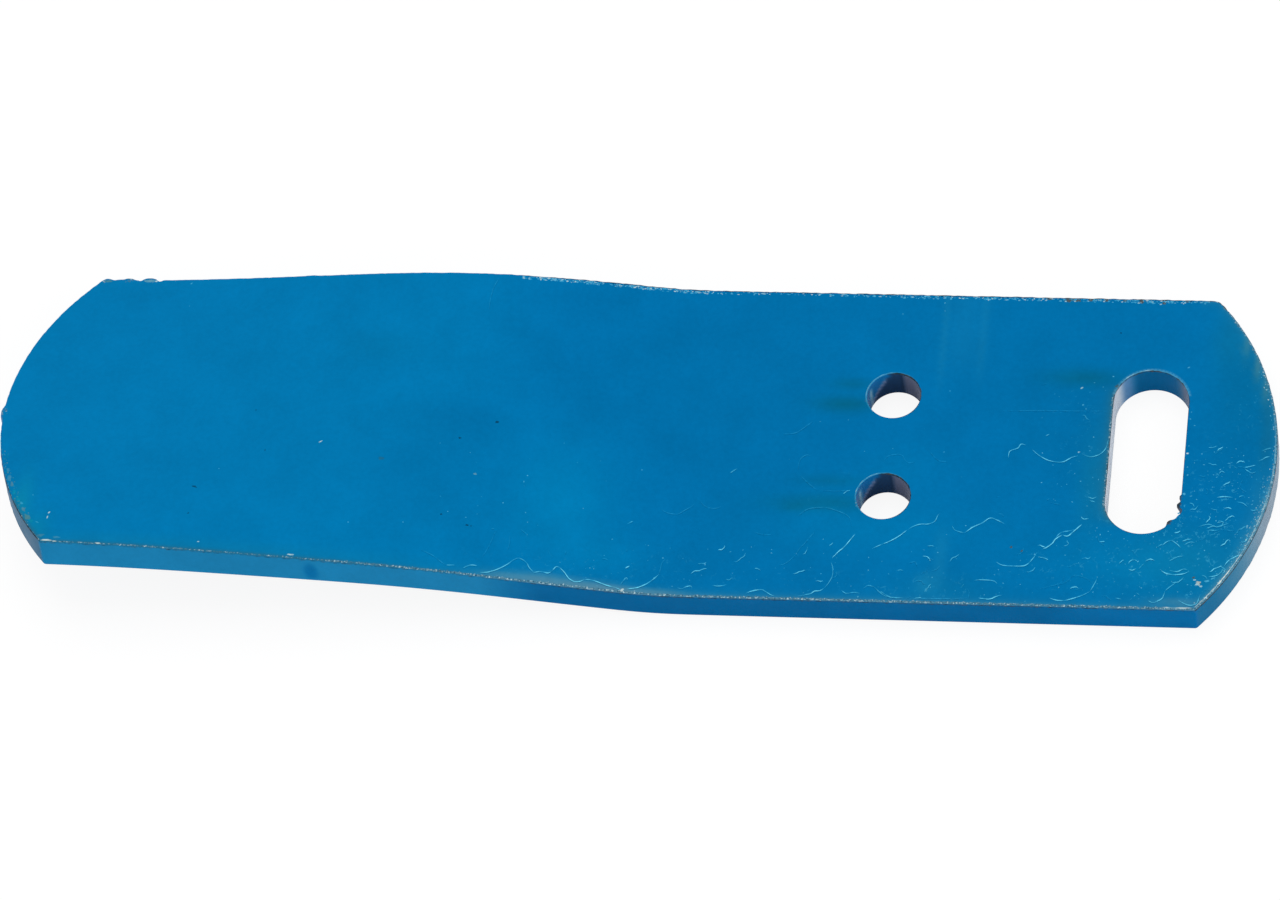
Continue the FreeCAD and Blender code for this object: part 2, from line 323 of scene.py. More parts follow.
class Skin:
    """Gathers the flat coordinates and the faces of the whole surface."""

    def __init__(self):
        self.flat = []
        self.faces = []

    def add_points(self, points, w):
        first = len(self.flat)
        self.flat.extend((u, v, w) for u, v in points)
        return list(range(first, len(self.flat)))

    def add_sheet(self, rings, loose, w, upwards):
        """Triangulates the area between the rings, and gives back the numbers of each ring's points."""
        points = np.concatenate(rings + [loose])
        edges, owner, first = [], {}, 0
        for number, ring in enumerate(rings):
            numbers = range(first, first + len(ring))
            edges += [(a, b) for a, b in zip(numbers, list(numbers[1:]) + [first])]
            owner.update((index, number) for index in numbers)
            first += len(ring)
        made, _, triangles, origins, _, _ = delaunay_2d_cdt(
            [Vector(point) for point in points], edges, [], 0, 1e-5
        )
        indices = self.add_points(made, w)
        found = {old: index for index, olds in enumerate(origins) for old in olds}
        ring_of = [owner.get(olds[0]) if olds else None for olds in origins]
        for triangle in triangles:
            rings_met = {ring_of[index] for index in triangle}
            if len(rings_met) == 1 and rings_met.pop():
                continue
            corners = [indices[index] for index in triangle]
            self.faces.append(corners if upwards else corners[::-1])
        placed = [[] for _ in rings]
        for index, number in owner.items():
            placed[number].append(indices[found[index]])
        return placed

    def add_wall(self, loop, rows, first, last, outwards):
        """Joins the upper face's ring to the lower face's one through the rows between them."""
        above = first
        for inset, w in rows[1:-1]:
            below = self.add_points(loop(inset), w)
            self.join(above, below, outwards)
            above = below
        self.join(above, last, outwards)

    def join(self, above, below, outwards):
        for a, b in zip(range(-1, len(above) - 1), range(len(above))):
            face = [above[a], below[a], below[b], above[b]]
            self.faces.append(face if outwards else face[::-1])


def build_skin():
    skin = Skin()
    outer_rows = wall_rows(EDGE_BREAK)
    inner_rows = wall_rows(OPENING_BREAK)
    rings = [outline(EDGE_BREAK)] + [opening(OPENING_BREAK) for opening in OPENINGS]
    loose = [outline(inset)[::2] for inset in EDGE_RINGS]
    loose += [opening(grown)[::2] for opening in OPENINGS for grown in OPENING_RINGS]
    loose.append(grid(FINE_GRID, EDGE_RINGS[-1] + FINE_GRID / 2, OPENING_RINGS[-1] + FINE_GRID / 2))
    above = skin.add_sheet(rings, np.concatenate(loose), 0.0, upwards=True)
    below = skin.add_sheet(rings, grid(COARSE_GRID, 2.0, 2.0), -THICKNESS, upwards=False)
    skin.add_wall(outline, outer_rows, above[0], below[0], outwards=True)
    for opening, upper, lower in zip(OPENINGS, above[1:], below[1:]):
        skin.add_wall(opening, inner_rows, upper, lower, outwards=False)
    return np.array(skin.flat), skin.faces


# Damage to the shape: lumps of burr on the sheared edges, and an edge that isn't quite straight

# Each lump has a place (u, v, w), a width along the edge, a depth down it, and a height outwards
EDGE_LUMPS = (
    ((-207.7, -1.5, -2.2), 1.7, 2.6, 0.85),
    ((-190.5, 42.2, -1.2), 1.2, 2.0, 0.75),
    ((-187.6, 42.8, -1.2), 0.8, 2.0, 0.35),
    ((-185.3, 42.8, -1.2), 1.4, 2.0, 0.75),
    ((-182.4, 42.8, -1.0), 0.5, 1.6, -0.45),
    ((-180.3, 42.8, -1.2), 1.7, 2.2, 0.80),
    ((-177.7, 42.8, -0.6), 0.6, 1.4, -0.60),
    ((-141.0, 42.8, -0.6), 1.6, 1.2, 0.20),
    ((-106.5, 42.8, -0.6), 0.8, 1.2, 0.05),
)
SLOT_LUMPS = (
    ((68.5, -12.2, -0.6), 0.5, 1.0, 0.45),
    ((68.2, -14.4, -0.8), 0.8, 1.3, 0.95),
    ((68.2, -16.1, -0.6), 1.0, 1.3, -0.75),
    ((66.0, -19.0, -0.7), 1.1, 1.2, 0.95),
    ((67.2, -17.6, -0.6), 0.8, 1.2, -0.25),
)
RAGGED = 0.12
RAGGED_FAR = 0.2
RAGGED_SCALE = 1.1


def lumps(flat, table):
    """How far each point is pushed out by the lumps."""
    pushed = np.zeros(len(flat))
    for (u, v, w), width, depth, height in table:
        along = ((flat[:, 0] - u) ** 2 + (flat[:, 1] - v) ** 2) / width**2
        pushed += height * np.exp(-(along**1.5) - ((flat[:, 2] - w) / depth) ** 4)
    return pushed


def damage(flat):
    """Moves the points near an edge out and in, as shearing, punching and wear left them."""
    u, v, w = flat.T
    gap = edge_gap(u, v)
    away = np.stack([np.zeros(len(flat)), np.sign(v)], axis=1)
    for centre, rounded in ((RIGHT_CENTRE, u > RIGHT_CENTRE), (LEFT_CENTRE, u < LEFT_CENTRE)):
        spoke = np.stack([u - centre, v], axis=1)
        length = np.hypot(*spoke.T)
        on_arc = rounded & (END_RADIUS - length <= HALF_WIDTH - np.abs(v) + 0.05)
        away[on_arc] = (spoke / np.maximum(length, 1)[:, None])[on_arc]
    depth = np.minimum(-w, w + THICKNESS)
    near_rim = np.exp(-gap / 0.7) * np.exp(-depth / 1.2)
    ragged = np.where((v > 40) & (u > -92), RAGGED_FAR, RAGGED * (v > -30))
    shift = lumps(flat, EDGE_LUMPS) * np.exp(-gap / 0.9)
    rough = (gap < 4) & (depth < 5)
    shift[rough] -= (ragged * near_rim)[rough] * (0.3 + waves(flat[rough], RAGGED_SCALE, 1))
    moved = flat.copy()
    moved[:, :2] += away * shift[:, None]

    spoke = np.stack([SLOT_OFFSET - u, np.clip(v, -SLOT_ARM, SLOT_ARM) - v], axis=1)
    inwards = spoke / np.maximum(np.hypot(*spoke.T), 1)[:, None]
    push = lumps(flat, SLOT_LUMPS) * np.exp(-np.maximum(slot_gap(u, v), 0) / 0.8)
    moved[:, :2] += inwards * push[:, None]
    return moved


# Colour of the paint, point by point, as it looks on screen

PAINT = (0, 112, 171)
PAINT_TWISTED = (0, 121, 179)
PAINT_BRIGHT = (0, 128, 184)
PAINT_DEEP = (0, 108, 164)
NEAR_FACE = (0, 101, 158)
NEAR_FACE_REFLECTION = (27, 130, 182)
NEAR_FACE_BRIGHT = (0, 108, 168)
RIGHT_FACE = (10, 110, 158)
RIGHT_FACE_SHEEN = (138, 162, 182)
LEFT_FACE = (10, 118, 172)
LEFT_FACE_GREY = (64, 114, 148)
GREEN_SMUDGE = (4, 98, 132)
TEAL = (18, 120, 154)
TEAL_BRIGHT = (10, 138, 170)
DIRTY_TEAL = (16, 102, 138)
TAN_SMUDGE = (112, 140, 134)
RUBBED = (78, 138, 168)
PALE_REFLECTION = (40, 138, 178)
ABRADED = (90, 148, 176)
RIM_HAZE = (96, 136, 156)
RIM_DULL = (40, 108, 138)
DIRT_HAZE = (66, 108, 122)
RIM_GLINT = (110, 176, 206)
BORE_NAVY = (30, 66, 104)
BORE_BLUE = (8, 112, 176)
BORE_SLATE = (104, 112, 138)
BORE_LAVENDER = (150, 168, 210)
BORE_GLINT = (190, 222, 232)
SLOT_FAR = (4, 100, 152)
SLOT_LEFT = (92, 144, 192)
SLOT_PALE_SHEEN = (222, 232, 244)
SLOT_SLATE = (100, 118, 146)
UNDERSIDE = (0, 104, 158)

# Soft patches on the upper face: the pixel of the middle, half sizes in millimetres along and
# across, the colour, and how strong it is
PATCHES = (
    ((560, 500), 14, 18, PAINT_BRIGHT, 0.8),
    ((700, 400), 24, 26, PAINT_DEEP, 0.35),
    ((430, 470), 16, 20, PAINT_DEEP, 0.45),
    ((470, 415), 9, 6, PAINT_DEEP, 0.5),
    ((1060, 400), 12, 9, PAINT_DEEP, 0.45),
    ((1060, 440), 9, 6, PAINT_DEEP, 0.75),
    ((852, 384), 5, 1.6, GREEN_SMUDGE, 0.55),
    ((846, 404), 7, 2.2, GREEN_SMUDGE, 0.85),
    ((832, 481), 8, 1.6, GREEN_SMUDGE, 0.45),
    ((826, 503), 12, 2.4, GREEN_SMUDGE, 0.75),
    ((794, 507), 3, 1.2, GREEN_SMUDGE, 0.6),
    ((1085, 378), 9, 2.4, GREEN_SMUDGE, 0.7),
    ((1092, 480), 3.5, 14, TEAL, 0.35),
    ((380, 345), 9, 5, GREEN_SMUDGE, 0.15),
    ((900, 470), 10, 7, PAINT_BRIGHT, 0.3),
    ((870, 528), 22, 7, PAINT_BRIGHT, 0.45),
    ((1150, 565), 22, 8, PAINT_BRIGHT, 0.6),
    ((1190, 560), 14, 9, TEAL, 0.35),
    ((1230, 340), 4, 8, TEAL, 0.3),
    ((1248, 385), 8, 18, GREEN_SMUDGE, 0.28),
    ((1247, 345), 0.9, 4.5, TAN_SMUDGE, 0.3),
    ((1258, 367), 0.9, 4.5, TAN_SMUDGE, 0.4),
    ((1266, 389), 0.9, 4.5, TAN_SMUDGE, 0.4),
    ((1267, 432), 1.5, 14, DIRTY_TEAL, 0.5),
    ((1256, 500), 1.8, 8, ABRADED, 0.15),
    ((1244, 540), 2.0, 6, ABRADED, 0.15),
    ((20, 505), 2.4, 9, TEAL_BRIGHT, 0.6),
    ((36, 528), 3.0, 5, TEAL_BRIGHT, 0.4),
    ((940, 590), 12, 4, TEAL, 0.2),
    ((600, 555), 12, 6, PAINT_BRIGHT, 0.5),
    ((505, 575), 6, 0.9, RUBBED, 0.6),
    ((540, 579), 7, 1.5, RUBBED, 0.85),
    ((570, 584), 6, 1.3, RUBBED, 0.8),
    ((598, 587), 6, 1.3, RUBBED, 0.85),
    ((622, 590), 6, 1.0, RUBBED, 0.8),
    ((655, 592), 7, 0.9, RUBBED, 0.7),
    ((1178, 602), 7, 1.2, RUBBED, 0.6),
    ((200, 545), 60, 2.0, TEAL, 0.25),
)
# Painted reflections: pale upright bands on the upper face, each with the pixel of its middle, half sizes in
# millimetres along and across, and how strong it is
REFLECTION_BANDS = (
    ((945, 330), 0.6, 16, 0.26),
    ((984, 330), 0.9, 14, 0.2),
    ((965, 320), 4.5, 14, 0.14),
    ((940, 560), 1.6, 8, 0.25),
    ((925, 583), 2.2, 3, 0.35),
)


PATCH_PLACES = on_face([patch[0] for patch in PATCHES])
REFLECTION_BAND_PLACES = on_face([band[0] for band in REFLECTION_BANDS])


def blend(colours, colour, share):
    """Mixes one colour into many, by a share for each."""
    share = np.clip(share, 0, 1)[:, None]
    return colours * (1 - share) + np.asarray(colour, float) * share


def upper_paint(flat):
    """The upper face: brighter over the twisted half, with soft smudges and painted pale reflection bands."""
    u, v, _ = flat.T
    tones = np.tile(np.asarray(PAINT, float), (len(flat), 1))
    tones = blend(tones, PAINT_TWISTED, smooth(-70, -110, u))
    for middle, (_, along, across, colour, strength) in zip(PATCH_PLACES, PATCHES):
        near = np.exp(-(((u - middle[0]) / along) ** 2) - ((v - middle[1]) / across) ** 2)
        tones = blend(tones, colour, strength * near)
    # Painted reflection: the pale bands
    for middle, (_, along, across, strength) in zip(REFLECTION_BAND_PLACES, REFLECTION_BANDS):
        near = np.exp(-(((u - middle[0]) / along) ** 2) - ((v - middle[1]) / across) ** 4)
        tones = blend(tones, PALE_REFLECTION, strength * near)
    gap = np.maximum(edge_gap(u, v), 0)
    near_edge = v < -30
    tones = blend(tones, RIM_HAZE, 0.75 * near_edge * smooth(-105, -85, u) * np.exp(-gap / 0.75))
    tones = blend(tones, RIM_DULL, 0.9 * near_edge * smooth(-85, -105, u) * np.exp(-((gap / 0.7) ** 2)))
    arc_rim = (u > RIGHT_CENTRE + ARC_REACH - 4) & (edge_gap(u, v) < HALF_WIDTH - np.abs(v) + 0.01)
    tones = blend(tones, RIM_HAZE, 0.5 * arc_rim * np.exp(-gap / 0.8))
    rubbed = arc_rim * smooth(-4, -12, v) * smooth(-40, -32, v)
    tones = blend(tones, ABRADED, 0.6 * rubbed * np.exp(-((gap / 1.4) ** 2)))
    slot_left = (u < SLOT_OFFSET - 4) * smooth(21, 17, np.abs(v + 1))
    tones = blend(tones, DIRT_HAZE, 0.75 * slot_left * np.exp(-np.maximum(slot_gap(u, v), 0) / 1.1))
    for centre in (-HOLE_OFFSET, HOLE_OFFSET):
        upper_left = smooth(-0.3, 0.5, (v - centre - u) / HOLE_RADIUS)
        rim = smooth(0.25, 0.05, np.hypot(u, v - centre) - HOLE_RADIUS)
        tones = blend(tones, RIM_GLINT, 0.6 * upper_left * rim)
    slot_far = (v > SLOT_ARM + 2) * smooth(0.35, 0.1, slot_gap(u, v))
    return blend(tones, RIM_GLINT, 0.7 * slot_far)


def outer_paint(flat):
    """The edge faces: dull blue along the near side, with a painted pale reflection where it leans up; a painted pale
    sheen on the right arc, and the left arc greyer.
    """
    u, v, w = flat.T
    tones = np.tile(np.asarray(NEAR_FACE, float), (len(flat), 1))
    tones = blend(tones, NEAR_FACE_BRIGHT, smooth(38, 50, u))
    # Painted reflection: the near face is paler where the strip leans up
    tones = blend(tones, NEAR_FACE_REFLECTION, smooth(-74, -92, u))
    stain = ((u + 129.2) / 1.7) ** 2 + ((w + 4.6) / 2.9) ** 2
    tones = blend(tones, NEAR_FACE_BRIGHT, 0.85 * (v < 0) * np.exp(-(stain**2)))
    on_right = smooth(0.2, 0.8, u - RIGHT_CENTRE - ARC_REACH)
    tones = blend(tones, RIGHT_FACE, on_right)
    # Painted sheen: the right arc's face turns pale towards the far side
    tones = blend(tones, RIGHT_FACE_SHEEN, on_right * smooth(-42, -14, v))
    on_left = smooth(-0.2, -0.8, u - LEFT_CENTRE + ARC_REACH)
    tones = blend(tones, LEFT_FACE, on_left)
    tones = blend(tones, LEFT_FACE_GREY, on_left * smooth(-14, -34, v))
    return tones


def bore_paint(flat, centre):
    """A bolt hole's wall: blue film high on the left; painted reflections below and round it: a pale lavender streak, a
    glint, navy behind with a dark upright line, and slate on the right.
    """
    angle = np.degrees(np.arctan2(flat[:, 1] - centre, flat[:, 0])) % 360
    depth = -flat[:, 2]
    tones = np.tile(np.asarray(BORE_SLATE, float), (len(flat), 1))
    # Painted reflections on the wall: navy behind, slate on the right, a pale lavender streak and a glint
    tones = blend(tones, BORE_NAVY, smooth(66, 84, angle) * smooth(330, 300, angle))
    run = 1.6 + 0.12 * np.clip(angle - 112, 0, 60)
    film = smooth(96, 112, angle) * smooth(300, 260, angle)
    tones = blend(tones, BORE_BLUE, film * smooth(run + 0.4, run - 0.4, depth))
    streak = np.exp(-(((depth - run - 0.5) / 0.8) ** 2)) * smooth(108, 118, angle) * smooth(175, 160, angle)
    tones = blend(tones, BORE_LAVENDER, 0.75 * streak)
    glint = np.exp(-(((angle - 158) / 6) ** 2)) * smooth(1.0, 2.5, depth)
    tones = blend(tones, BORE_GLINT, 0.75 * glint)
    # Painted reflection: a dark upright line on the far wall
    dark_reflection_line = np.exp(-(((angle - 80) / 2.5) ** 2))
    tones = blend(tones, (0, 30, 60), 0.5 * dark_reflection_line)
    return blend(tones, (40, 110, 140), 0.5 * smooth(0.8, 0.2, depth) * smooth(100, 60, angle))


def slot_paint(flat):
    """The slot's wall: dark blue at its far end, slate on the right, and a painted pale reflection along the left."""
    u, v, _ = flat.T
    angle = np.degrees(np.arctan2(v - SLOT_ARM, u - SLOT_OFFSET))
    tones = np.tile(np.asarray(SLOT_SLATE, float), (len(flat), 1))
    behind = v > SLOT_ARM
    tones = blend(tones, SLOT_FAR, behind * smooth(30, 60, angle))
    tones = blend(tones, SLOT_LEFT, behind * smooth(112, 135, angle))
    # Painted reflection: the slot's left wall is pale
    left = smooth(SLOT_OFFSET - 6.2, SLOT_OFFSET - 8.2, u)
    return blend(tones, SLOT_PALE_SHEEN, left)


def paint(flat):
    """The colour of every point of the skin."""
    u, v, w = flat.T
    tones = upper_paint(flat)
    under = w < -THICKNESS + 0.3
    wall = (w < -EDGE_BREAK + 0.05) & (w > -THICKNESS + EDGE_BREAK / 2)
    outer = wall & (edge_gap(u, v) < 1)
    tones[under] = UNDERSIDE
    tones[outer] = outer_paint(flat[outer])
    for side in (-1, 1):
        bore = (w < -0.05) & (w > -THICKNESS + 0.05) & (hole_gap(u, v, side) < 0.3)
        tones[bore] = bore_paint(flat[bore], side * HOLE_OFFSET)
    inside = (w < -0.05) & (w > -THICKNESS + 0.05) & (slot_gap(u, v) < 0.3)
    tones[inside] = slot_paint(flat[inside])
    return tones


# Where the enamel is worn through: 0 where it is whole, 1 where bare metal shows


def wear(flat):
    u, v, w = flat.T
    gap = np.maximum(edge_gap(u, v), 0)
    top = smooth(-0.38, -0.12, w)
    near = (v < -HALF_WIDTH + 3) & (gap < 3)
    thin = smooth(-140, -105, u)
    worn = near * (0.62 + 0.25 * thin) * smooth(0.5 + 0.22 * thin, 0.3, gap)
    right_arc = smooth(0, 0.8, u - RIGHT_CENTRE - ARC_REACH)
    left_arc = smooth(0, -0.8, u - LEFT_CENTRE + ARC_REACH)
    worn = np.maximum(worn, right_arc * 0.75 * smooth(0.7, 0.35, gap))
    rubbed = right_arc * smooth(-2, -12, v) * smooth(-36, -26, v)
    worn = np.maximum(worn, 0.5 * right_arc * smooth(1.2 + 0.5 * rubbed, 0.5, gap))
    worn = np.maximum(worn, left_arc * (0.1 + 0.5 * smooth(-12, -26, v)) * smooth(0.5, 0.2, gap))
    far = (v > HALF_WIDTH - 3) & (u > -191) & (u < 74)
    flecks = 0.15 + 0.4 * smooth(-94, -84, u)
    worn = np.maximum(worn, far * flecks * smooth(1.0, 0.4, gap))
    slot_left = (u < SLOT_OFFSET - 4) * smooth(19, 16, np.abs(v + 1))
    worn = np.maximum(worn, 0.72 * slot_left * smooth(1.0, 0.4, slot_gap(u, v)))
    slot_right = (u > SLOT_OFFSET) & (np.abs(v) < 16)
    worn = np.maximum(worn, 0.3 * slot_right * smooth(1.6, 0.4, slot_gap(u, v)))
    for side in (-1, 1):
        angle = np.degrees(np.arctan2(v - side * HOLE_OFFSET, u)) % 360
        rubbed = smooth(165, 190, angle) * smooth(250, 225, angle)
        worn = np.maximum(worn, 0.46 * rubbed * smooth(0.9, 0.3, hole_gap(u, v, side)))
    crests = np.clip(1.2 * lumps(flat, EDGE_LUMPS), 0, 0.6) * (gap < 1.2) * (w > -1.5)
    chips = lumps(flat, SLOT_LUMPS)
    worn = np.maximum(worn, crests)
    return np.clip(worn * top + 0.5 * np.clip(chips, 0, 1) * (slot_gap(u, v) < 0.5), 0, 1)


# Rust on the far edge: its place along the strip, half its width, and how strong it is
RUST_SPOTS = (
    (34.1, 0.9, 0.8),
    (39.7, 1.9, 1.0),
    (43.8, 0.9, 0.8),
    (47.5, 0.7, 0.8),
    (55.6, 0.6, 0.9),
    (61.0, 0.6, 0.9),
    (66.5, 1.2, 0.5),
    (-66.0, 9.0, 0.3),
)


def grime(flat):
    """Rust and old dirt along the far edge and in the chips of the slot, and a thin dark line under each rim."""
    u, v, w = flat.T
    gap = np.maximum(edge_gap(u, v), 0)
    far = (v > HALF_WIDTH - 3) & (u < 76) & (w > -2.5)
    dark = far * (0.2 + 0.7 * smooth(-94, -84, u)) * smooth(0.5, 0.1, gap) * smooth(-0.9, -0.45, w)
    rust = np.zeros(len(flat))
    for spot, width, strength in RUST_SPOTS:
        here = np.exp(-(((u - spot) / width) ** 4))
        rust = np.maximum(rust, strength * far * here * smooth(1.3, 0.6, gap) * smooth(-1.6, -0.8, w))
    under_rim = (gap < 0.1) * smooth(-0.95, -0.7, w) * smooth(-0.2, -0.35, w)
    near_rim = (0.4 + 0.1 * smooth(-100, -60, u)) * under_rim * (v < -HALF_WIDTH + 1)
    right_rim = 0.8 * under_rim * (u > RIGHT_CENTRE + ARC_REACH)
    left_line = (gap < 0.3) * smooth(-0.6, -0.4, w) * (w < -0.1)
    left_rim = 0.6 * left_line * (u < LEFT_CENTRE - ARC_REACH) * smooth(-8, -16, v)
    rims = smooth(0.3, 0.05, opening_gap(u, v)) * (w > -0.5)
    holes = 0.75 * rims * (np.abs(u) < 20) * smooth(-5, 2, u)
    slot_line = 0.5 * rims * (u > 20)
    chips = np.clip(1.4 * lumps(flat, SLOT_LUMPS), 0, 1) * (slot_gap(u, v) < 0.35) * (w < 0.1)
    lines = [dark, rust, near_rim, right_rim, left_rim, holes, slot_line, chips]
    return np.clip(np.maximum.reduce(lines), 0, 1)


# Where fine scratches are thick: the pixel of the middle, half sizes in millimetres, how thick
SCRATCHED = (
    ((1165, 550), 18, 11, 1.0),
    ((1225, 500), 9, 16, 1.0),
    ((1090, 470), 9, 9, 0.4),
    ((1090, 570), 22, 7, 0.5),
    ((1205, 590), 8, 5, 1.0),
    ((1250, 400), 4, 12, 0.5),
    ((1080, 420), 8, 8, 0.3),
    ((925, 585), 20, 4, 0.5),
    ((760, 580), 26, 4, 0.3),
    ((640, 570), 22, 5, 0.3),
    ((540, 560), 16, 5, 0.3),
    ((830, 490), 7, 7, 0.2),
)


def scratches(flat):
    u, v, w = flat.T
    thick = np.full(len(flat), 0.0)
    for pixel, along, across, strength in SCRATCHED:
        middle = on_face([pixel])[0]
        here = np.exp(-((((u - middle[0]) / along) ** 2 + ((v - middle[1]) / across) ** 2) ** 1.5))
        thick = np.maximum(thick, strength * here)
    return thick * (w > -0.3)


# Marks that lie on the paint: low closed ridges and blots, each with its own colours

MARK_SINK = 0.03
CREST = 0.035
MARK_STEP = 0.4
BLOT_CORNERS = 9
# SCUFF and SCUFF_SOFT are scuffed paint made brighter by a painted highlight; SCUFF_SHADE is the painted shadow beside
# each scuff
SCUFF = (114, 226, 255)
SCUFF_SOFT = (58, 172, 220)
SCUFF_SHADE = (0, 80, 128)
CREAM = (216, 204, 190)
WHITE_FLECK = (222, 232, 228)
PALE_FLECK = (100, 190, 224)
RUST_BROWN = (96, 82, 74)
PIT = (10, 60, 90)


class Marks:
    """Gathers the marks of the upper face: their flat coordinates, faces and colours."""

    def __init__(self):
        self.flat = []
        self.faces = []
        self.tones = []

    def add(self, points, colours, shares, faces):
        first = len(self.flat)
        under = upper_paint(np.asarray(points, float))
        shares = np.clip(shares, 0, 1)[:, None]
        self.flat.extend(points)
        self.tones.extend(under * (1 - shares) + np.asarray(colours, float) * shares)
        self.faces.extend([first + index for index in face] for face in faces)

    def ridge(self, path, width, colour, strength):
        """A line along a path with a bright crest, tapered to its ends, of uneven width and strength."""
        middle = smooth_path(path)
        count = len(middle)
        along = np.gradient(middle, axis=0)
        along /= np.maximum(np.hypot(*along.T), 1e-6)[:, None]
        beside = np.stack([-along[:, 1], along[:, 0]], axis=1)
        shares = np.linspace(0, 1, count)
        taper = np.sqrt(np.clip(np.minimum(shares, 1 - shares) * 5, 0, 1))
        places = np.column_stack([middle, np.zeros(count)])
        half = width / 2 * (0.35 + 0.65 * taper) * (1 + 0.7 * waves(places, 0.9, 3))
        crest = strength * np.clip(0.9 + 1.1 * waves(places, 1.5, 4), 0.25, 1) * (0.5 + 0.5 * taper)
        left = np.column_stack([middle - beside * half[:, None], np.full(count, -MARK_SINK)])
        right = np.column_stack([middle + beside * half[:, None], np.full(count, -MARK_SINK)])
        top = np.column_stack([middle, CREST * (0.3 + 0.7 * taper)])
        faces = []
        for i in range(count - 1):
            a, b, c = i, count + i, 2 * count + i
            faces += [(a, a + 1, b + 1, b), (b, b + 1, c + 1, c), (c, c + 1, a + 1, a)]
        faces += [(0, count, 2 * count), (count - 1, 3 * count - 1, 2 * count - 1)]
        self.add(
            np.concatenate([left, top, right]),
            colour,
            np.concatenate([0.65 * crest, crest, 0.65 * crest]),
            faces,
        )

    def scuff(self, path, strength):
        """A lifted line in the paint whose bright crest is partly a painted highlight, with a darker line on its side
        towards the near edge that is its painted shadow.
        """
        path = np.asarray(path, float)
        self.ridge(path + (0.06, -0.24), 0.34, SCUFF_SHADE, 0.7 * strength)
        self.ridge(path, 0.3 + 0.14 * strength, SCUFF if strength > 0.5 else SCUFF_SOFT, strength)

    def blot(self, centre, size, colour, strength, stretch=1.0, turn=0.0):
        """A small ragged blot, thickest at its middle."""
        angles = 2 * math.pi * np.arange(BLOT_CORNERS) / BLOT_CORNERS
        circle = np.stack([np.cos(angles), np.sin(angles)], axis=1)
        radii = size * (1 + 0.8 * waves(np.column_stack([circle + centre, 0 * angles]), 0.7, 6))
        spin = np.array([[math.cos(turn), math.sin(turn)], [-math.sin(turn), math.cos(turn)]])
        corners = np.asarray(centre) + (circle * radii[:, None] * (stretch, 1)) @ spin
        rim = np.column_stack([corners, np.full(BLOT_CORNERS, 0.0)])
        points = np.concatenate([rim, [(*centre, CREST)], [(*centre, -MARK_SINK)]])
        faces = []
        for i in range(BLOT_CORNERS):
            after = (i + 1) % BLOT_CORNERS
            faces += [(i, after, BLOT_CORNERS), (after, i, BLOT_CORNERS + 1)]
        shares = strength * np.array([0.7] * BLOT_CORNERS + [1, 1])
        self.add(points, colour, shares, faces)


def smooth_path(path):
    """Points close together on a smooth curve through the path's points."""
    path = np.asarray(path, float)
    ends = np.concatenate([path[:1] * 2 - path[1:2], path, path[-1:] * 2 - path[-2:-1]])
    points = []
    for before, start, end, after in zip(ends, ends[1:], ends[2:], ends[3:]):
        count = max(2, int(math.dist(start, end) / MARK_STEP))
        t = (np.arange(count) / count)[:, None]
        points.append(
            start
            + 0.5 * t * (end - before)
            + t**2 * (before - 2.5 * start + 2 * end - 0.5 * after)
            + t**3 * (1.5 * start - 0.5 * before - 1.5 * end + 0.5 * after)
        )
    return np.concatenate(points + [path[-1:]])


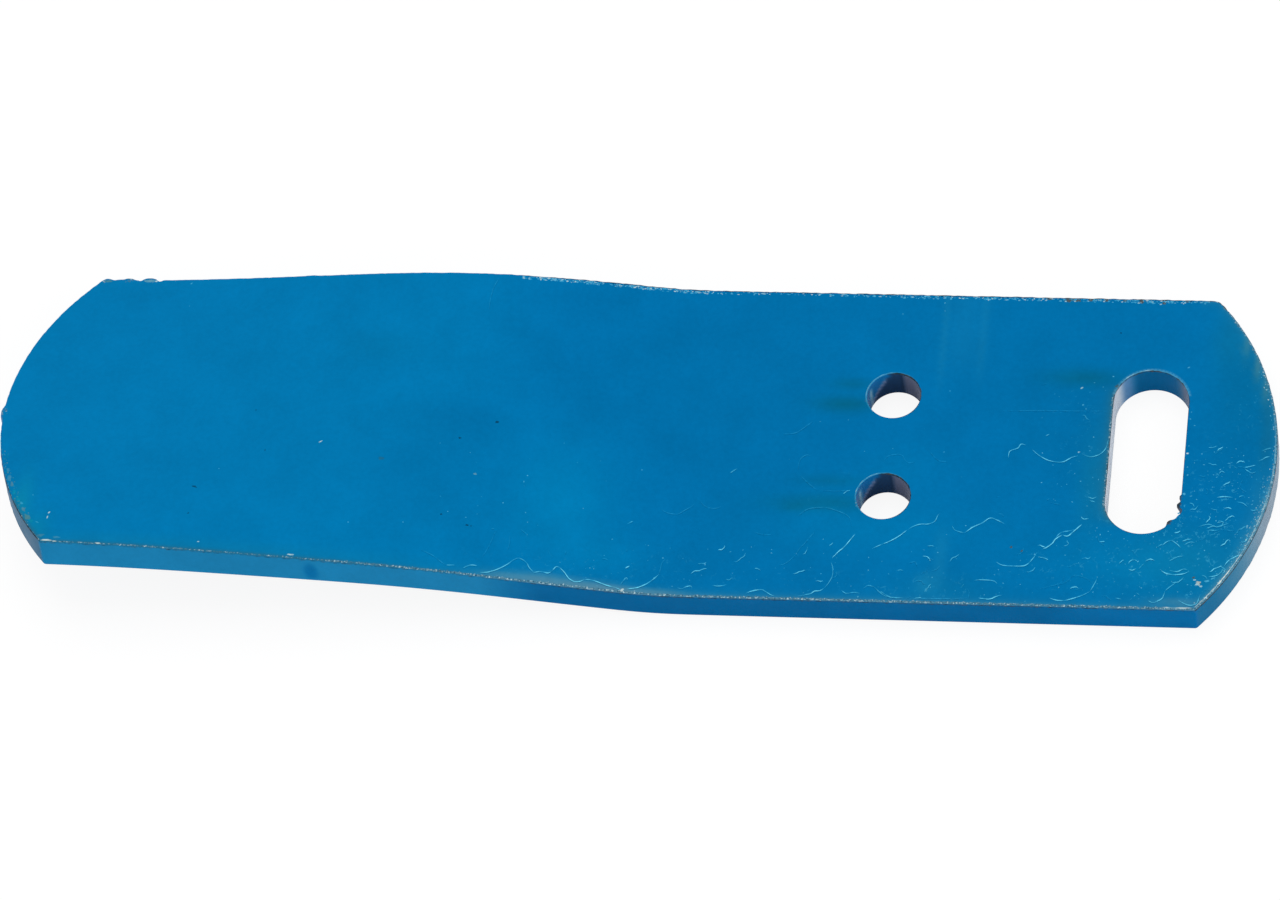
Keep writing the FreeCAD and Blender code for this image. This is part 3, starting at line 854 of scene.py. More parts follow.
# Scuff lines: how strong each is, and the photograph's pixels that it passes through
SCUFFS = (
    (0.5, ((420, 549), (432, 555), (440, 561), (446, 565))),
    (0.85, ((446, 565), (455, 565))),
    (0.9, ((463, 568), (470, 565), (477, 565.5))),
    (0.9, ((480, 572.5), (489, 571.8), (498, 568.9), (507, 564.4), (514, 559.4), (518.5, 557.8))),
    (0.75, ((518.5, 557.8), (523, 559.8), (526.5, 562.8), (528.8, 567.3), (533.3, 571.8))),
    (0.85, ((533.3, 572.5), (541, 571.4), (548, 573), (552.6, 570.2), (556, 566.6), (559.4, 567.3))),
    (1.0, ((559.4, 567.3), (563.9, 571.8), (568.4, 578), (574, 581.4), (579.8, 581.4), (584.3, 579.3))),
    (1.0, ((584.3, 579.3), (591, 579.8), (598, 582), (607, 585.4), (616, 587.7), (620.6, 590))),
    (1.0, ((627.4, 588.8), (636.5, 587.7), (645.5, 584.3), (653.5, 579), (659, 574))),
    (0.5, ((659, 574), (660.7, 568.4), (662, 562.8), (665.5, 558.9))),
    (0.35, ((482, 557), (489, 545.8), (496, 530))),
    (0.3, ((509.5, 534.4), (509.5, 543.5), (507, 550.3))),
    (0.5, ((491, 528.8), (494.7, 528.3))),
    (0.5, ((520.8, 528.8), (524.2, 532.2), (527.6, 534))),
    (0.4, ((565, 554.8), (566, 550.3))),
    (0.9, ((625, 568.4), (629.7, 565.7))),
    (0.8, ((620.6, 584.3), (624, 579.8), (626.3, 577.5), (627.4, 581))),
    (0.4, ((625, 550.3), (628.5, 549.8))),
    (0.85, ((627, 524), (633, 521))),
    (0.5, ((661.4, 509.5), (668, 512.9), (677.3, 514), (684, 510.6), (690.9, 506.8), (694.3, 503.8))),
    (0.45, ((700, 500.4), (703.4, 505), (709, 507.7), (715.8, 508.3), (721.5, 506))),
    (0.85, ((690.9, 574), (694.3, 571), (698.8, 570.7), (703.4, 568.9), (706.8, 568.4))),
    (0.8, ((677.3, 587.7), (681.8, 588.8), (685.2, 587), (690.9, 586), (692, 590))),
    (0.7, ((712.4, 585.4), (718, 586), (723.8, 585.4), (726.7, 584.3))),
    (0.8, ((724.9, 579), (729.4, 579.8), (731.7, 577.5))),
    (0.75, ((730, 473), (733, 471), (737, 468.5))),
    (0.6, ((732.8, 562), (737.4, 561.2), (740.8, 558.2), (744.2, 556), (745.8, 552))),
    (0.8, ((745.3, 593.4), (752, 591), (761, 589.5), (764.6, 591), (770.2, 594.5), (774.8, 596))),
    (0.3, ((754.4, 532.2), (763.4, 534.4), (772.5, 534.4))),
    (0.45, ((783, 434), (795, 433), (805, 427), (813, 421))),
    (0.4, ((798, 470), (800, 460), (806, 455), (812, 456))),
    (0.35, ((800, 475), (808, 483), (817, 490))),
    (0.3, ((820, 490), (836, 491), (852, 490))),
    (0.5, ((797.5, 516.3), (806.5, 509.5), (815.6, 507.7), (825, 507.4), (835, 510), (848, 516), (852, 527))),
    (0.5, ((779.3, 565), (785, 563.4), (790.6, 559.4), (796.3, 553.7))),
    (0.4, ((796.3, 553.7), (799.7, 548), (804.3, 543.5), (815, 531))),
    (0.95, ((832, 558), (838, 552), (845, 546), (855, 534))),
    (0.6, ((831, 562), (833, 570), (832, 577), (827, 585), (824, 588))),
    (0.9, ((824, 588), (820, 590.6), (814.5, 591), (811, 593.4), (804, 595), (797.5, 596))),
    (0.55, ((841, 590), (845.8, 593.3), (853.7, 592.3), (860, 593.3))),
    (0.55, ((863, 588.5), (868, 585.4), (874, 587), (879, 591.7), (886.9, 596.4), (904, 598))),
    (0.7, ((880, 591), (890, 597), (900, 598))),
    (0.5, ((904, 598), (926, 598.4), (946, 598.6), (967.5, 598))),
    (0.7, ((843, 494), (847, 491), (851, 490))),
    (1.0, ((871, 549), (880, 545), (890, 541), (899, 536), (907, 530))),
    (0.7, ((907, 530), (914, 526), (921, 524), (928, 524), (935, 521), (938, 515), (941, 513))),
    (0.35, ((883.7, 460.6), (888.5, 455.8), (898, 454.2), (902.7, 455.8), (904, 459), (909, 462.8), (915.3, 461.5))),
    (0.5, ((909, 563), (915, 561.7), (917, 566.4))),
    (0.6, ((926.4, 590), (929.5, 585.4), (931, 583.8))),
    (0.6, ((951.7, 525.3), (954.8, 530), (964.3, 533))),
    (1.0, ((964.3, 533), (973, 527), (982, 523), (990, 518), (997, 520), (1005, 524))),
    (0.4, ((967.5, 588.5), (969, 593), (969, 598))),
    (0.7, ((973.8, 580.6), (980, 579.7), (992.7, 580.6), (997.5, 583.8))),
    (0.9, ((978.5, 598), (989.6, 599), (996, 596.4), (1002, 594.9))),
    (0.35, ((996, 497), (999, 496))),
    (0.45, ((997.5, 514), (1002, 514), (1003.8, 517.4))),
    (0.8, ((996, 561.7), (1002, 565), (1015, 566), (1026, 565), (1034, 557), (1037, 552))),
    (0.9, ((1008.5, 457.4), (1010, 451), (1018, 448), (1021, 444), (1026, 445))),
    (0.85, ((1032, 449.5), (1040, 456), (1049.6, 460.6), (1062, 462), (1071.7, 457.4), (1078, 455.8))),
    (0.7, ((1082.8, 454.2), (1090.7, 456.8), (1100, 454), (1106, 448), (1108, 440))),
    (0.8, ((1045.5, 436), (1049.6, 434))),
    (0.5, ((1046.4, 500), (1049.6, 498.5))),
    (1.0, ((1042.6, 549.2), (1047.9, 546.6), (1053, 542.6), (1055.8, 538.7), (1062.4, 534.7))),
    (0.95, ((1062.4, 534.7), (1067.6, 536), (1074.2, 530.8), (1082, 524.2))),
    (0.7, ((1055.8, 537.4), (1061, 532.6), (1069, 530.8), (1074.2, 529.5))),
    (0.8, ((1080.8, 516.3), (1083.4, 519), (1088.7, 518.4))),
    (0.7, ((1087.4, 496.6), (1092.6, 498.4), (1096.6, 496.6))),
    (0.6, ((1088.7, 500.5), (1095.3, 501.8))),
    (0.35, ((1096.6, 533.4), (1099, 541.3), (1104.5, 545.3))),
    (0.85, ((1049.2, 597.9), (1055.8, 600), (1063.7, 600.5), (1071.6, 598.7), (1082, 595.3), (1090, 591.3))),
    (0.6, ((1090, 591.3), (1094, 584.7), (1097.9, 576.8))),
    (0.35, ((1040, 588.5), (1052.8, 585.4), (1065.4, 582), (1074.9, 575.3), (1087.5, 579), (1093.8, 585.4))),
    (0.6, ((1115, 597.9), (1121.6, 599.2))),
    (0.7, ((1119, 563.7), (1121.6, 561), (1124, 559.7))),
    (0.8, ((1128, 563.7), (1130.8, 560.5), (1134.7, 559.7), (1137.4, 561.6))),
    (0.8, ((1128, 569), (1132, 570.3), (1136, 568.4))),
    (0.7, ((1138.7, 569), (1141.3, 565.8), (1144, 563.7))),
    (0.9, ((1145.3, 561), (1150.5, 559), (1154.5, 560.5))),
    (0.6, ((1129.5, 600.5), (1132, 597.9))),
    (0.6, ((1136, 592.6), (1140, 595.3))),
    (0.85, ((1147.9, 600.5), (1153, 602.6), (1158.4, 600.5), (1162.4, 597.9), (1165, 591.3))),
    (0.55, ((1165, 591.3), (1169, 587.4), (1176.8, 582))),
    (0.95, ((1159.7, 569), (1165, 572.9), (1174.2, 574.7), (1183.4, 573.7), (1188.7, 571.6))),
    (0.8, ((1169, 570.3), (1176.8, 571.6), (1183.4, 569), (1187.4, 569.7))),
    (0.6, ((1169, 561), (1176.8, 557), (1183.4, 555.8))),
    (0.8, ((1162.4, 545.3), (1166.3, 542), (1171.6, 540.5), (1176.8, 544), (1180.8, 547.9))),
    (0.95, ((1182, 541.3), (1187.4, 539.5), (1192.6, 538.7))),
    (0.6, ((1184, 545), (1190, 542), (1195, 542.6))),
    (0.6, ((1197.9, 526.8), (1208.4, 524.2), (1216.3, 526.8), (1221.6, 525.5), (1229.5, 522.9))),
    (0.5, ((1211, 532), (1219, 529.5), (1234.7, 530.8))),
    (0.85, ((1216.8, 497.4), (1224.2, 496.6), (1233.4, 497.4))),
    (0.85, ((1224, 508.5), (1228, 507.6), (1232, 509))),
    (0.7, ((1238.7, 497.4), (1241.3, 495.8), (1245, 496))),
    (0.6, ((1236, 501.8), (1242.6, 503), (1247.9, 507))),
    (0.8, ((1250.5, 509.7), (1254, 510.5), (1258.4, 509))),
    (0.7, ((1219, 474), (1221.6, 471), (1225, 473))),
    (0.7, ((1227, 463.5), (1231, 463))),
    (0.8, ((1236, 463.7), (1240, 461), (1245.3, 462.4))),
    (0.6, ((1233.4, 466.3), (1237.4, 468.4))),
    (0.7, ((1244, 467.6), (1250.5, 466.3), (1255.8, 465))),
    (0.9, ((1245, 469), (1250, 472.4), (1253, 472.9), (1255.8, 471.6))),
    (0.4, ((1242.6, 479.5), (1240, 487.4), (1247.9, 492.6))),
    (0.6, ((1261, 451.8), (1266.3, 449.2), (1271.6, 447.9))),
    (0.9, ((1224, 566.3), (1228, 561), (1232, 558.4), (1240, 554.5))),
    (0.8, ((1208.4, 576.8), (1216.3, 575.5), (1221.6, 571.6), (1224.2, 566.3))),
    (0.8, ((1178, 600), (1183, 603), (1188, 605), (1193, 605), (1197, 603), (1199, 598), (1200, 594))),
    (0.35, ((1000, 411), (1040, 410.5), (1080, 411), (1110, 411))),
    (0.4, ((499, 278), (494, 287), (492, 293), (490, 302), (489, 310))),
    (0.35, ((930, 452), (938, 460), (948, 462))),
)

# Blots: the photograph's pixel, the radius in millimetres, how long they are for their width, their
# turn in degrees, the colour, and how strong it is
BLOTS = (
    ((497, 422), 0.3, 1.5, 20, PIT, 1.0),
    ((460, 438), 0.26, 1.2, 0, PIT, 1.0),
    ((441, 514), 0.24, 1.0, 0, PIT, 0.9),
    ((467, 525), 0.24, 1.3, 0, PIT, 1.0),
    ((471, 526), 0.18, 1.0, 0, PIT, 0.8),
    ((194.5, 486.5), 0.28, 2.2, -20, PIT, 0.8),
    ((188, 513), 0.22, 1.4, 60, PIT, 0.6),
    ((1121, 333), 0.22, 1.2, 0, PIT, 0.9),
    ((256, 410), 0.2, 1.5, 90, PIT, 0.4),
    ((265, 450), 0.18, 2.0, 90, PIT, 0.4),
    ((1011, 547), 0.32, 1.0, 0, RUST_BROWN, 0.8),
    ((1022, 551), 0.25, 1.4, 40, RUST_BROWN, 0.8),
    ((381, 458), 0.45, 1.6, 10, RUST_BROWN, 0.3),
    ((475, 474), 0.3, 1.4, 0, CREAM, 0.45),
    ((8, 470), 0.35, 2.0, 100, ABRADED, 0.6),
    ((9.5, 478), 0.45, 2.2, 104, ABRADED, 0.7),
    ((12, 484), 0.4, 1.8, 106, RIM_HAZE, 0.8),
    ((14, 492), 0.4, 2.2, 110, TEAL_BRIGHT, 0.8),
    ((18, 499), 0.45, 2.0, 112, TEAL_BRIGHT, 0.8),
    ((21.5, 503), 0.3, 1.5, 114, PALE_FLECK, 0.5),
    ((23.5, 509), 0.5, 1.6, 116, RIM_HAZE, 0.8),
    ((27, 517), 0.6, 1.7, 120, TAN_SMUDGE, 0.7),
    ((31, 521), 0.4, 2.0, 122, TEAL_BRIGHT, 0.8),
    ((37, 522), 0.16, 3.0, -25, PALE_FLECK, 0.5),
    ((40.5, 535), 0.5, 2.0, 10, RIM_HAZE, 0.6),
    ((56, 537), 0.35, 2.6, 0, ABRADED, 0.6),
    ((47, 540), 0.26, 5.0, 0, WHITE_FLECK, 0.95),
    ((54, 541), 0.2, 2.5, 0, WHITE_FLECK, 0.9),
    ((97.5, 543), 0.22, 3.0, 0, WHITE_FLECK, 0.9),
    ((290, 554.5), 0.22, 4.0, 0, WHITE_FLECK, 0.8),
    ((49, 512.5), 0.16, 2.4, 70, WHITE_FLECK, 0.9),
    ((47.3, 517), 0.16, 2.6, 80, WHITE_FLECK, 0.9),
    ((33, 495), 0.14, 1.6, -50, PALE_FLECK, 0.6),
    ((108.5, 281.3), 0.3, 4.0, 0, TAN_SMUDGE, 0.7),
    ((150.5, 281.0), 0.32, 4.0, 0, CREAM, 0.5),
    # A painted highlight: this white blot on the far edge's burr lump is a glint
    ((156.5, 281.2), 0.22, 1.5, 0, WHITE_FLECK, 0.95),
    ((191.5, 283.5), 0.2, 1.5, 60, PALE_FLECK, 0.7),
    ((189.4, 306), 0.12, 1.2, 0, PALE_FLECK, 0.7),
    ((945.5, 298), 0.2, 1.3, 80, PALE_FLECK, 0.8),
    ((945, 303), 0.16, 1.3, 80, PALE_FLECK, 0.8),
    ((945, 311), 0.14, 1.0, 0, PALE_FLECK, 0.7),
    ((903, 314), 0.16, 1.6, 0, PALE_FLECK, 0.5),
    ((985, 299), 0.3, 1.6, 90, PALE_FLECK, 0.4),
    ((198, 541.5), 0.18, 1.6, 10, WHITE_FLECK, 0.8),
    ((320.5, 441.5), 0.14, 3.4, 35, WHITE_FLECK, 0.9),
    ((219, 468.5), 0.12, 1.8, -10, PALE_FLECK, 0.7),
    ((348, 522), 0.14, 1.4, 0, PALE_FLECK, 0.8),
    ((403, 522), 0.14, 1.4, 0, PALE_FLECK, 0.8),
    ((642, 470), 0.14, 1.4, 30, PALE_FLECK, 0.7),
    ((1193.5, 577.5), 0.3, 1.0, 0, RUST_BROWN, 0.8),
    ((1194.5, 580), 0.22, 1.3, 0, WHITE_FLECK, 0.8),
    ((1198.5, 583), 0.62, 1.25, -40, CREAM, 0.85),
    ((1196.6, 584.5), 0.3, 1.2, 0, WHITE_FLECK, 0.8),
    ((1200.6, 586.3), 0.26, 1.6, 20, WHITE_FLECK, 0.7),
    ((1200, 583.4), 0.2, 1.3, 0, RUST_BROWN, 0.7),
    ((1207, 581), 0.28, 2.6, 15, PALE_FLECK, 0.75),
    ((1213, 578.5), 0.22, 2.4, 25, PALE_FLECK, 0.7),
    ((1184, 494), 0.3, 1.2, 0, PALE_FLECK, 0.8),
    ((1191, 496), 0.14, 2.2, 20, PALE_FLECK, 0.7),
    ((1179, 513), 0.24, 1.4, 40, PALE_FLECK, 0.9),
    ((1184.5, 506), 0.2, 2.0, 80, PALE_FLECK, 0.5),
    ((1187.5, 453.5), 0.24, 1.2, 0, WHITE_FLECK, 0.9),
    ((1187.5, 467), 0.16, 1.2, 0, PALE_FLECK, 0.8),
    ((1187.5, 475), 0.18, 1.2, 0, PALE_FLECK, 0.8),
    ((1190.5, 419), 0.15, 1.2, 0, PALE_FLECK, 0.8),
    ((1194.5, 425.5), 0.15, 1.4, 0, PALE_FLECK, 0.7),
    ((1191.5, 412), 0.14, 1.2, 0, PALE_FLECK, 0.7),
    ((1189, 446), 0.13, 1.2, 0, PALE_FLECK, 0.7),
    ((1113.5, 376.5), 0.16, 1.4, 0, PALE_FLECK, 0.8),
    ((1117, 386), 0.4, 1.3, 60, RUST_BROWN, 0.6),
    ((1189, 367.5), 0.14, 2.6, 25, PALE_FLECK, 0.8),
    ((1082, 388), 0.22, 1.6, 30, WHITE_FLECK, 0.7),
    ((1083, 405), 0.2, 1.2, 0, PALE_FLECK, 0.7),
    ((1079, 452), 0.2, 1.3, 10, WHITE_FLECK, 0.7),
    ((950, 391), 0.16, 1.2, 0, PALE_FLECK, 0.5),
    ((663, 558), 0.16, 1.6, 0, PALE_FLECK, 0.7),
    ((622, 590), 0.3, 1.5, 60, WHITE_FLECK, 0.8),
    ((926, 590), 0.3, 2.0, 60, PALE_FLECK, 0.5),
    ((944, 452), 0.15, 1.5, 0, PALE_FLECK, 0.5),
)

# Seeded marks: the corner pixels of their area, and how many short lines and dots there are
SEED = 11
SCATTER = (
    ((1095, 445), (1270, 602), 40, 200),
    ((1196, 440), (1272, 600), 16, 70),
    ((1040, 380), (1112, 520), 6, 46),
    ((880, 545), (1100, 602), 22, 60),
    ((690, 545), (880, 598), 10, 36),
    ((560, 540), (690, 590), 1, 24),
    ((430, 440), (620, 540), 0, 24),
    ((780, 410), (1000, 545), 1, 12),
)
TICK_TURN = (-15, 45)
TICK_WANDER = 50
TICK_STEP = (0.3, 0.7)
TICK_CORNERS = (3, 6)
EDGE_CLEARANCE = 0.8


def scatter(marks, chance):
    """Short crooked scuffs and dots, thickest round the slot and along the near edge."""
    for low, high, ticks, dots in SCATTER:
        for number in range(ticks + dots):
            pixel = [chance.uniform(low[axis], high[axis]) for axis in (0, 1)]
            path = [on_face([pixel])[0]]
            strength = chance.uniform(0.2, 1.0)
            turn = chance.uniform(*TICK_TURN)
            size = chance.uniform(0.06, 0.15)
            for _ in range(chance.randint(*TICK_CORNERS)):
                step = chance.uniform(*TICK_STEP)
                path.append(path[-1] + step * np.array([math.cos(math.radians(turn)), math.sin(math.radians(turn))]))
                turn += chance.uniform(-TICK_WANDER, TICK_WANDER)
            u, v = np.transpose(path)
            if edge_gap(u, v).min() < EDGE_CLEARANCE or opening_gap(u, v).min() < EDGE_CLEARANCE:
                continue
            if number < ticks:
                marks.scuff(path, strength)
            else:
                marks.blot(path[0], size, PALE_FLECK, strength, 1.4, math.radians(turn))


# Rubbed rims: the end's centre and side, the lowest and highest v, how deep, how many, and colours
RUBBED_RIMS = (
    (RIGHT_CENTRE, 1, -33, -6, 2.2, 260, (PALE_FLECK, ABRADED, ABRADED, WHITE_FLECK)),
    (RIGHT_CENTRE, 1, -42, 24, 1.0, 190, (PALE_FLECK, RIM_HAZE, WHITE_FLECK)),
    (LEFT_CENTRE, -1, -38, -14, 1.6, 110, (ABRADED, TEAL_BRIGHT, TEAL_BRIGHT, RIM_HAZE, TAN_SMUDGE)),
)

# Flecks and dark dashes along the far edge: from one u to another, and how many of each
FAR_EDGE = (
    (-90, -46, 330, 12),
    (-46, 0, 70, 8),
    (0, 72, 300, 12),
)
FLECK_SIZE = (0.08, 0.18)
DASH_REACH = (0.8, 2.0)

# Rust blots on the far edge: the place along the strip, the distance from the edge, size and stretch
FAR_BLOTS = (
    (34.0, 0.7, 0.34, 2.6),
    (38.6, 0.9, 0.48, 1.8),
    (40.8, 0.85, 0.45, 1.7),
    (43.8, 0.7, 0.34, 1.8),
    (47.5, 0.7, 0.34, 1.8),
    (51.8, 0.7, 0.26, 2.0),
    (55.6, 0.95, 0.46, 1.1),
    (60.8, 1.15, 0.46, 1.1),
    (66.4, 0.65, 0.26, 2.6),
)


def rub_rims(marks, chance):
    """Small flecks that thin out from the rims of the ends and from the far edge."""
    for centre, side, low, high, depth, count, colours in RUBBED_RIMS:
        for _ in range(count):
            v = chance.uniform(low, high)
            reach = END_RADIUS - 0.4 - depth * chance.random() ** 2
            angle = math.asin(v / END_RADIUS)
            place = (centre + side * reach * math.cos(angle), reach * math.sin(angle))
            size = chance.uniform(0.06, 0.16)
            colour = chance.choice(colours)
            marks.blot(place, size, colour, chance.uniform(0.3, 0.9), 1.5, side * angle + math.pi / 2)
    for start, end, flecks, dashes in FAR_EDGE:
        for _ in range(flecks):
            u = chance.uniform(start, end)
            size = chance.uniform(*FLECK_SIZE)
            v = HALF_WIDTH - EDGE_BREAK - size - 0.75 * chance.random() ** 1.5
            colour = chance.choice((PALE_FLECK, PALE_FLECK, WHITE_FLECK))
            marks.blot((u, v), size, colour, chance.uniform(0.4, 1.0), chance.uniform(1, 2.5))
        for _ in range(dashes):
            reach = chance.uniform(*DASH_REACH)
            u = chance.uniform(start + reach, end - reach)
            rim = HALF_WIDTH - EDGE_BREAK
            marks.ridge([(u - reach, rim), (u, rim - 0.1), (u + reach, rim)], 0.34, PIT, chance.uniform(0.6, 0.95))
    for u, gap, size, stretch in FAR_BLOTS:
        marks.blot((u, HALF_WIDTH - gap), size, RUST_BROWN, 0.9, stretch)
        marks.blot((u - 0.7, HALF_WIDTH - gap - 0.35), 0.16, WHITE_FLECK, 0.8, 1.6)


# Bare metal shines along the rim of the right end: from one angle to another in degrees, and how strong
RIM_LINE_INSET = 0.5
RIM_LINES = (
    (-41.0, -24.0, 1.0),
    (-24.0, -8.0, 0.6),
    (-8.0, 10.0, 0.5),
)
CORNER_LINE = ((66.0, 0.5), (69.5, 0.45), (73.0, 0.5))

# Painted highlights: thin white glint lines on the far rims of the openings: the centre, the radius, the two angles,
# how strong
OPENING_GLINTS = (
    ((0.0, HOLE_OFFSET), HOLE_RADIUS, 95, 200, 0.5),
    ((0.0, -HOLE_OFFSET), HOLE_RADIUS, 100, 185, 0.6),
    ((SLOT_OFFSET, SLOT_ARM), SLOT_RADIUS, 88, 146, 0.8),
)


def build_marks():
    marks = Marks()
    for strength, path in SCUFFS:
        marks.scuff(on_face(path), strength)
    for pixel, size, stretch, turn, colour, strength in BLOTS:
        marks.blot(on_face([pixel])[0], size, colour, strength, stretch, math.radians(turn))
    chance = random.Random(SEED)
    scatter(marks, chance)
    rub_rims(marks, chance)
    rim = RIM_LINE_INSET
    for start, end, strength in RIM_LINES:
        angles = np.radians(np.linspace(start, end, 24))
        spokes = np.stack([np.cos(angles), np.sin(angles)], axis=1)
        marks.ridge(spokes * (END_RADIUS - rim) + (RIGHT_CENTRE, 0), 0.42, WHITE_FLECK, strength)
    marks.ridge([(u, gap - HALF_WIDTH) for u, gap in CORNER_LINE], 0.42, WHITE_FLECK, 0.95)
    # Painted highlights along the far rims of the openings
    for centre, radius, start, end, strength in OPENING_GLINTS:
        angles = np.radians(np.linspace(start, end, 24))
        spokes = np.stack([np.cos(angles), np.sin(angles)], axis=1)
        marks.ridge(spokes * (radius + 0.25) + centre, 0.24, WHITE_FLECK, strength)
    return marks


# Finishes


class Finish:
    """A node material, with a short way to add a node and link its sockets."""

    def __init__(self, name):
        self.material = bpy.data.materials.new(name)
        self.material.use_nodes = True
        self.tree = self.material.node_tree
        self.shader = self.tree.nodes["Principled BSDF"]

    def add(self, kind, settings=None, **inputs):
        node = self.tree.nodes.new(kind)
        for name, value in (settings or {}).items():
            setattr(node, name, value)
        for name, value in inputs.items():
            self.put(node.inputs[name.replace("_", " ")], value)
        return node

    def put(self, socket, value):
        if isinstance(value, bpy.types.NodeSocket):
            self.tree.links.new(value, socket)
        else:
            socket.default_value = value

    def painted(self, name):
        return self.add("ShaderNodeAttribute", {"attribute_name": name})

    def noise(self, places, scale, detail=3.0, rough=0.6):
        return self.add("ShaderNodeTexNoise", Vector=places, Scale=scale, Detail=detail, Roughness=rough).outputs["Fac"]

    def spread(self, value, low, high, to_low=0.0, to_high=1.0):
        """Maps a value's range to another range, held at its ends."""
        node = self.add("ShaderNodeMapRange", {"clamp": True}, Value=value)
        for name, number in (("From Min", low), ("From Max", high), ("To Min", to_low), ("To Max", to_high)):
            node.inputs[name].default_value = number
        return node.outputs["Result"]

    def math(self, operation, first, second):
        node = self.add("ShaderNodeMath", {"operation": operation})
        self.put(node.inputs[0], first)
        self.put(node.inputs[1], second)
        return node.outputs["Value"]

    def mix(self, share, first, second, mode="MIX"):
        node = self.add("ShaderNodeMix", {"data_type": "RGBA", "blend_type": mode})
        self.put(node.inputs[0], share)
        self.put(node.inputs[6], first)
        self.put(node.inputs[7], second)
        return node.outputs[2]


PAINT_GLOSS = 0.02
PAINT_SHEEN = (0.02, 0.4, 0.8, 1.0)


def flat_colour(colour):
    return (*linear(colour), 1.0)


def worn_enamel():
    """Semi-gloss blue enamel, mottled and scratched, worn to grey and cream specks along its rims."""
    finish = Finish("worn_enamel")
    places = finish.add("ShaderNodeTexCoord").outputs["Object"]
    tone = finish.painted("paint").outputs["Color"]
    worn = finish.painted("wear").outputs["Fac"]
    dirty = finish.painted("grime").outputs["Fac"]
    scratched = finish.painted("scratches").outputs["Fac"]

    mottle = finish.spread(finish.noise(places, 90.0, 4.0), 0.3, 0.7, 0.94, 1.05)
    grain = finish.spread(finish.noise(places, 900.0, 2.0), 0.3, 0.7, 0.965, 1.035)
    shade = finish.math("MULTIPLY", mottle, grain)
    shaded = finish.add("ShaderNodeVectorMath", {"operation": "SCALE"}, Scale=shade)
    finish.put(shaded.inputs[0], tone)
    colour = shaded.outputs["Vector"]

    curl = finish.math("ABSOLUTE", finish.math("SUBTRACT", finish.noise(places, 330.0, 3.0), 0.5), 0.0)
    broken = finish.spread(finish.noise(places, 420.0, 2.0), 0.54, 0.64)
    scratch = finish.math("MULTIPLY", finish.spread(curl, 0.006, 0.018, 1.0, 0.0), broken)
    dots = finish.spread(finish.noise(places, 1500.0, 1.0), 0.70, 0.76)
    scratch = finish.math("MULTIPLY", finish.math("MAXIMUM", scratch, dots), scratched)
    colour = finish.mix(finish.math("MULTIPLY", scratch, 0.55), colour, flat_colour((60, 172, 212)))

    fine = finish.noise(places, 2400.0, 2.0)
    bare = finish.mix(finish.spread(fine, 0.34, 0.46), flat_colour((40, 84, 110)), flat_colour((76, 126, 150)))
    bare = finish.mix(finish.spread(fine, 0.54, 0.66), bare, flat_colour((178, 208, 218)))
    specks = finish.noise(places, 1300.0, 3.0, 0.7)
    open_share = finish.spread(finish.math("ADD", specks, finish.spread(worn, 0.0, 1.0, -0.36, 0.2)), 0.46, 0.54)
    open_share = finish.math("MULTIPLY", open_share, finish.spread(worn, 0.02, 0.1))
    colour = finish.mix(open_share, colour, bare)

    rust = finish.mix(
        finish.spread(finish.noise(places, 1100.0, 2.0), 0.42, 0.62), flat_colour((24, 50, 68)), flat_colour((70, 76, 80))
    )
    dirt_share = finish.spread(finish.math("ADD", finish.noise(places, 700.0, 3.0, 0.7), dirty), 0.8, 1.15)
    dirt_share = finish.math("MULTIPLY", dirt_share, finish.spread(dirty, 0.02, 0.15))
    colour = finish.mix(dirt_share, colour, rust)
    finish.put(finish.shader.inputs["Base Color"], colour)

    gloss = finish.spread(finish.noise(places, 160.0, 4.0), 0.3, 0.7, 0.30, 0.46)
    rough = finish.math("ADD", gloss, finish.spread(open_share, 0.0, 1.0, 0.0, 0.2))
    finish.put(finish.shader.inputs["Roughness"], rough)
    finish.shader.inputs["Specular IOR Level"].default_value = PAINT_GLOSS
    finish.shader.inputs["Specular Tint"].default_value = PAINT_SHEEN
    bump = finish.add("ShaderNodeBump", Strength=0.3, Distance=0.00005)
    relief = finish.math("ADD", finish.noise(places, 450.0, 4.0), finish.math("MULTIPLY", open_share, -0.6))
    relief = finish.math("ADD", relief, scratch)
    finish.put(bump.inputs["Height"], relief)
    finish.put(finish.shader.inputs["Normal"], bump.outputs["Normal"])
    return finish.material


def scuffed_paint():
    """The paint's own colour, mixed to the tone that each mark carries; for the scuffs and the openings' rims that tone
    is partly painted highlights and shadows.
    """
    finish = Finish("scuffed_paint")
    places = finish.add("ShaderNodeTexCoord").outputs["Object"]
    tone = finish.painted("paint").outputs["Color"]
    shade = finish.spread(finish.noise(places, 1600.0, 3.0), 0.3, 0.7, 0.85, 1.12)
    shaded = finish.add("ShaderNodeVectorMath", {"operation": "SCALE"}, Scale=shade)
    finish.put(shaded.inputs[0], tone)
    finish.put(finish.shader.inputs["Base Color"], shaded.outputs["Vector"])
    finish.put(finish.shader.inputs["Roughness"], finish.spread(finish.noise(places, 700.0), 0.3, 0.7, 0.4, 0.6))
    finish.shader.inputs["Specular IOR Level"].default_value = PAINT_GLOSS
    finish.shader.inputs["Specular Tint"].default_value = PAINT_SHEEN
    bump = finish.add("ShaderNodeBump", Strength=0.4, Distance=0.00005)
    finish.put(bump.inputs["Height"], finish.noise(places, 900.0, 3.0))
    finish.put(finish.shader.inputs["Normal"], bump.outputs["Normal"])
    return finish.material


def background_share(tree):
    """1 for a ray from the camera, or one seen in gloss or through glass."""
    rays = tree.nodes.new("ShaderNodeLightPath")
    share = rays.outputs["Is Camera Ray"]
    for name in ("Is Glossy Ray", "Is Transmission Ray"):
        larger = tree.nodes.new("ShaderNodeMath")
        larger.operation = "MAXIMUM"
        tree.links.new(share, larger.inputs[0])
        tree.links.new(rays.outputs[name], larger.inputs[1])
        share = larger.outputs["Value"]
    return share


# The pieces


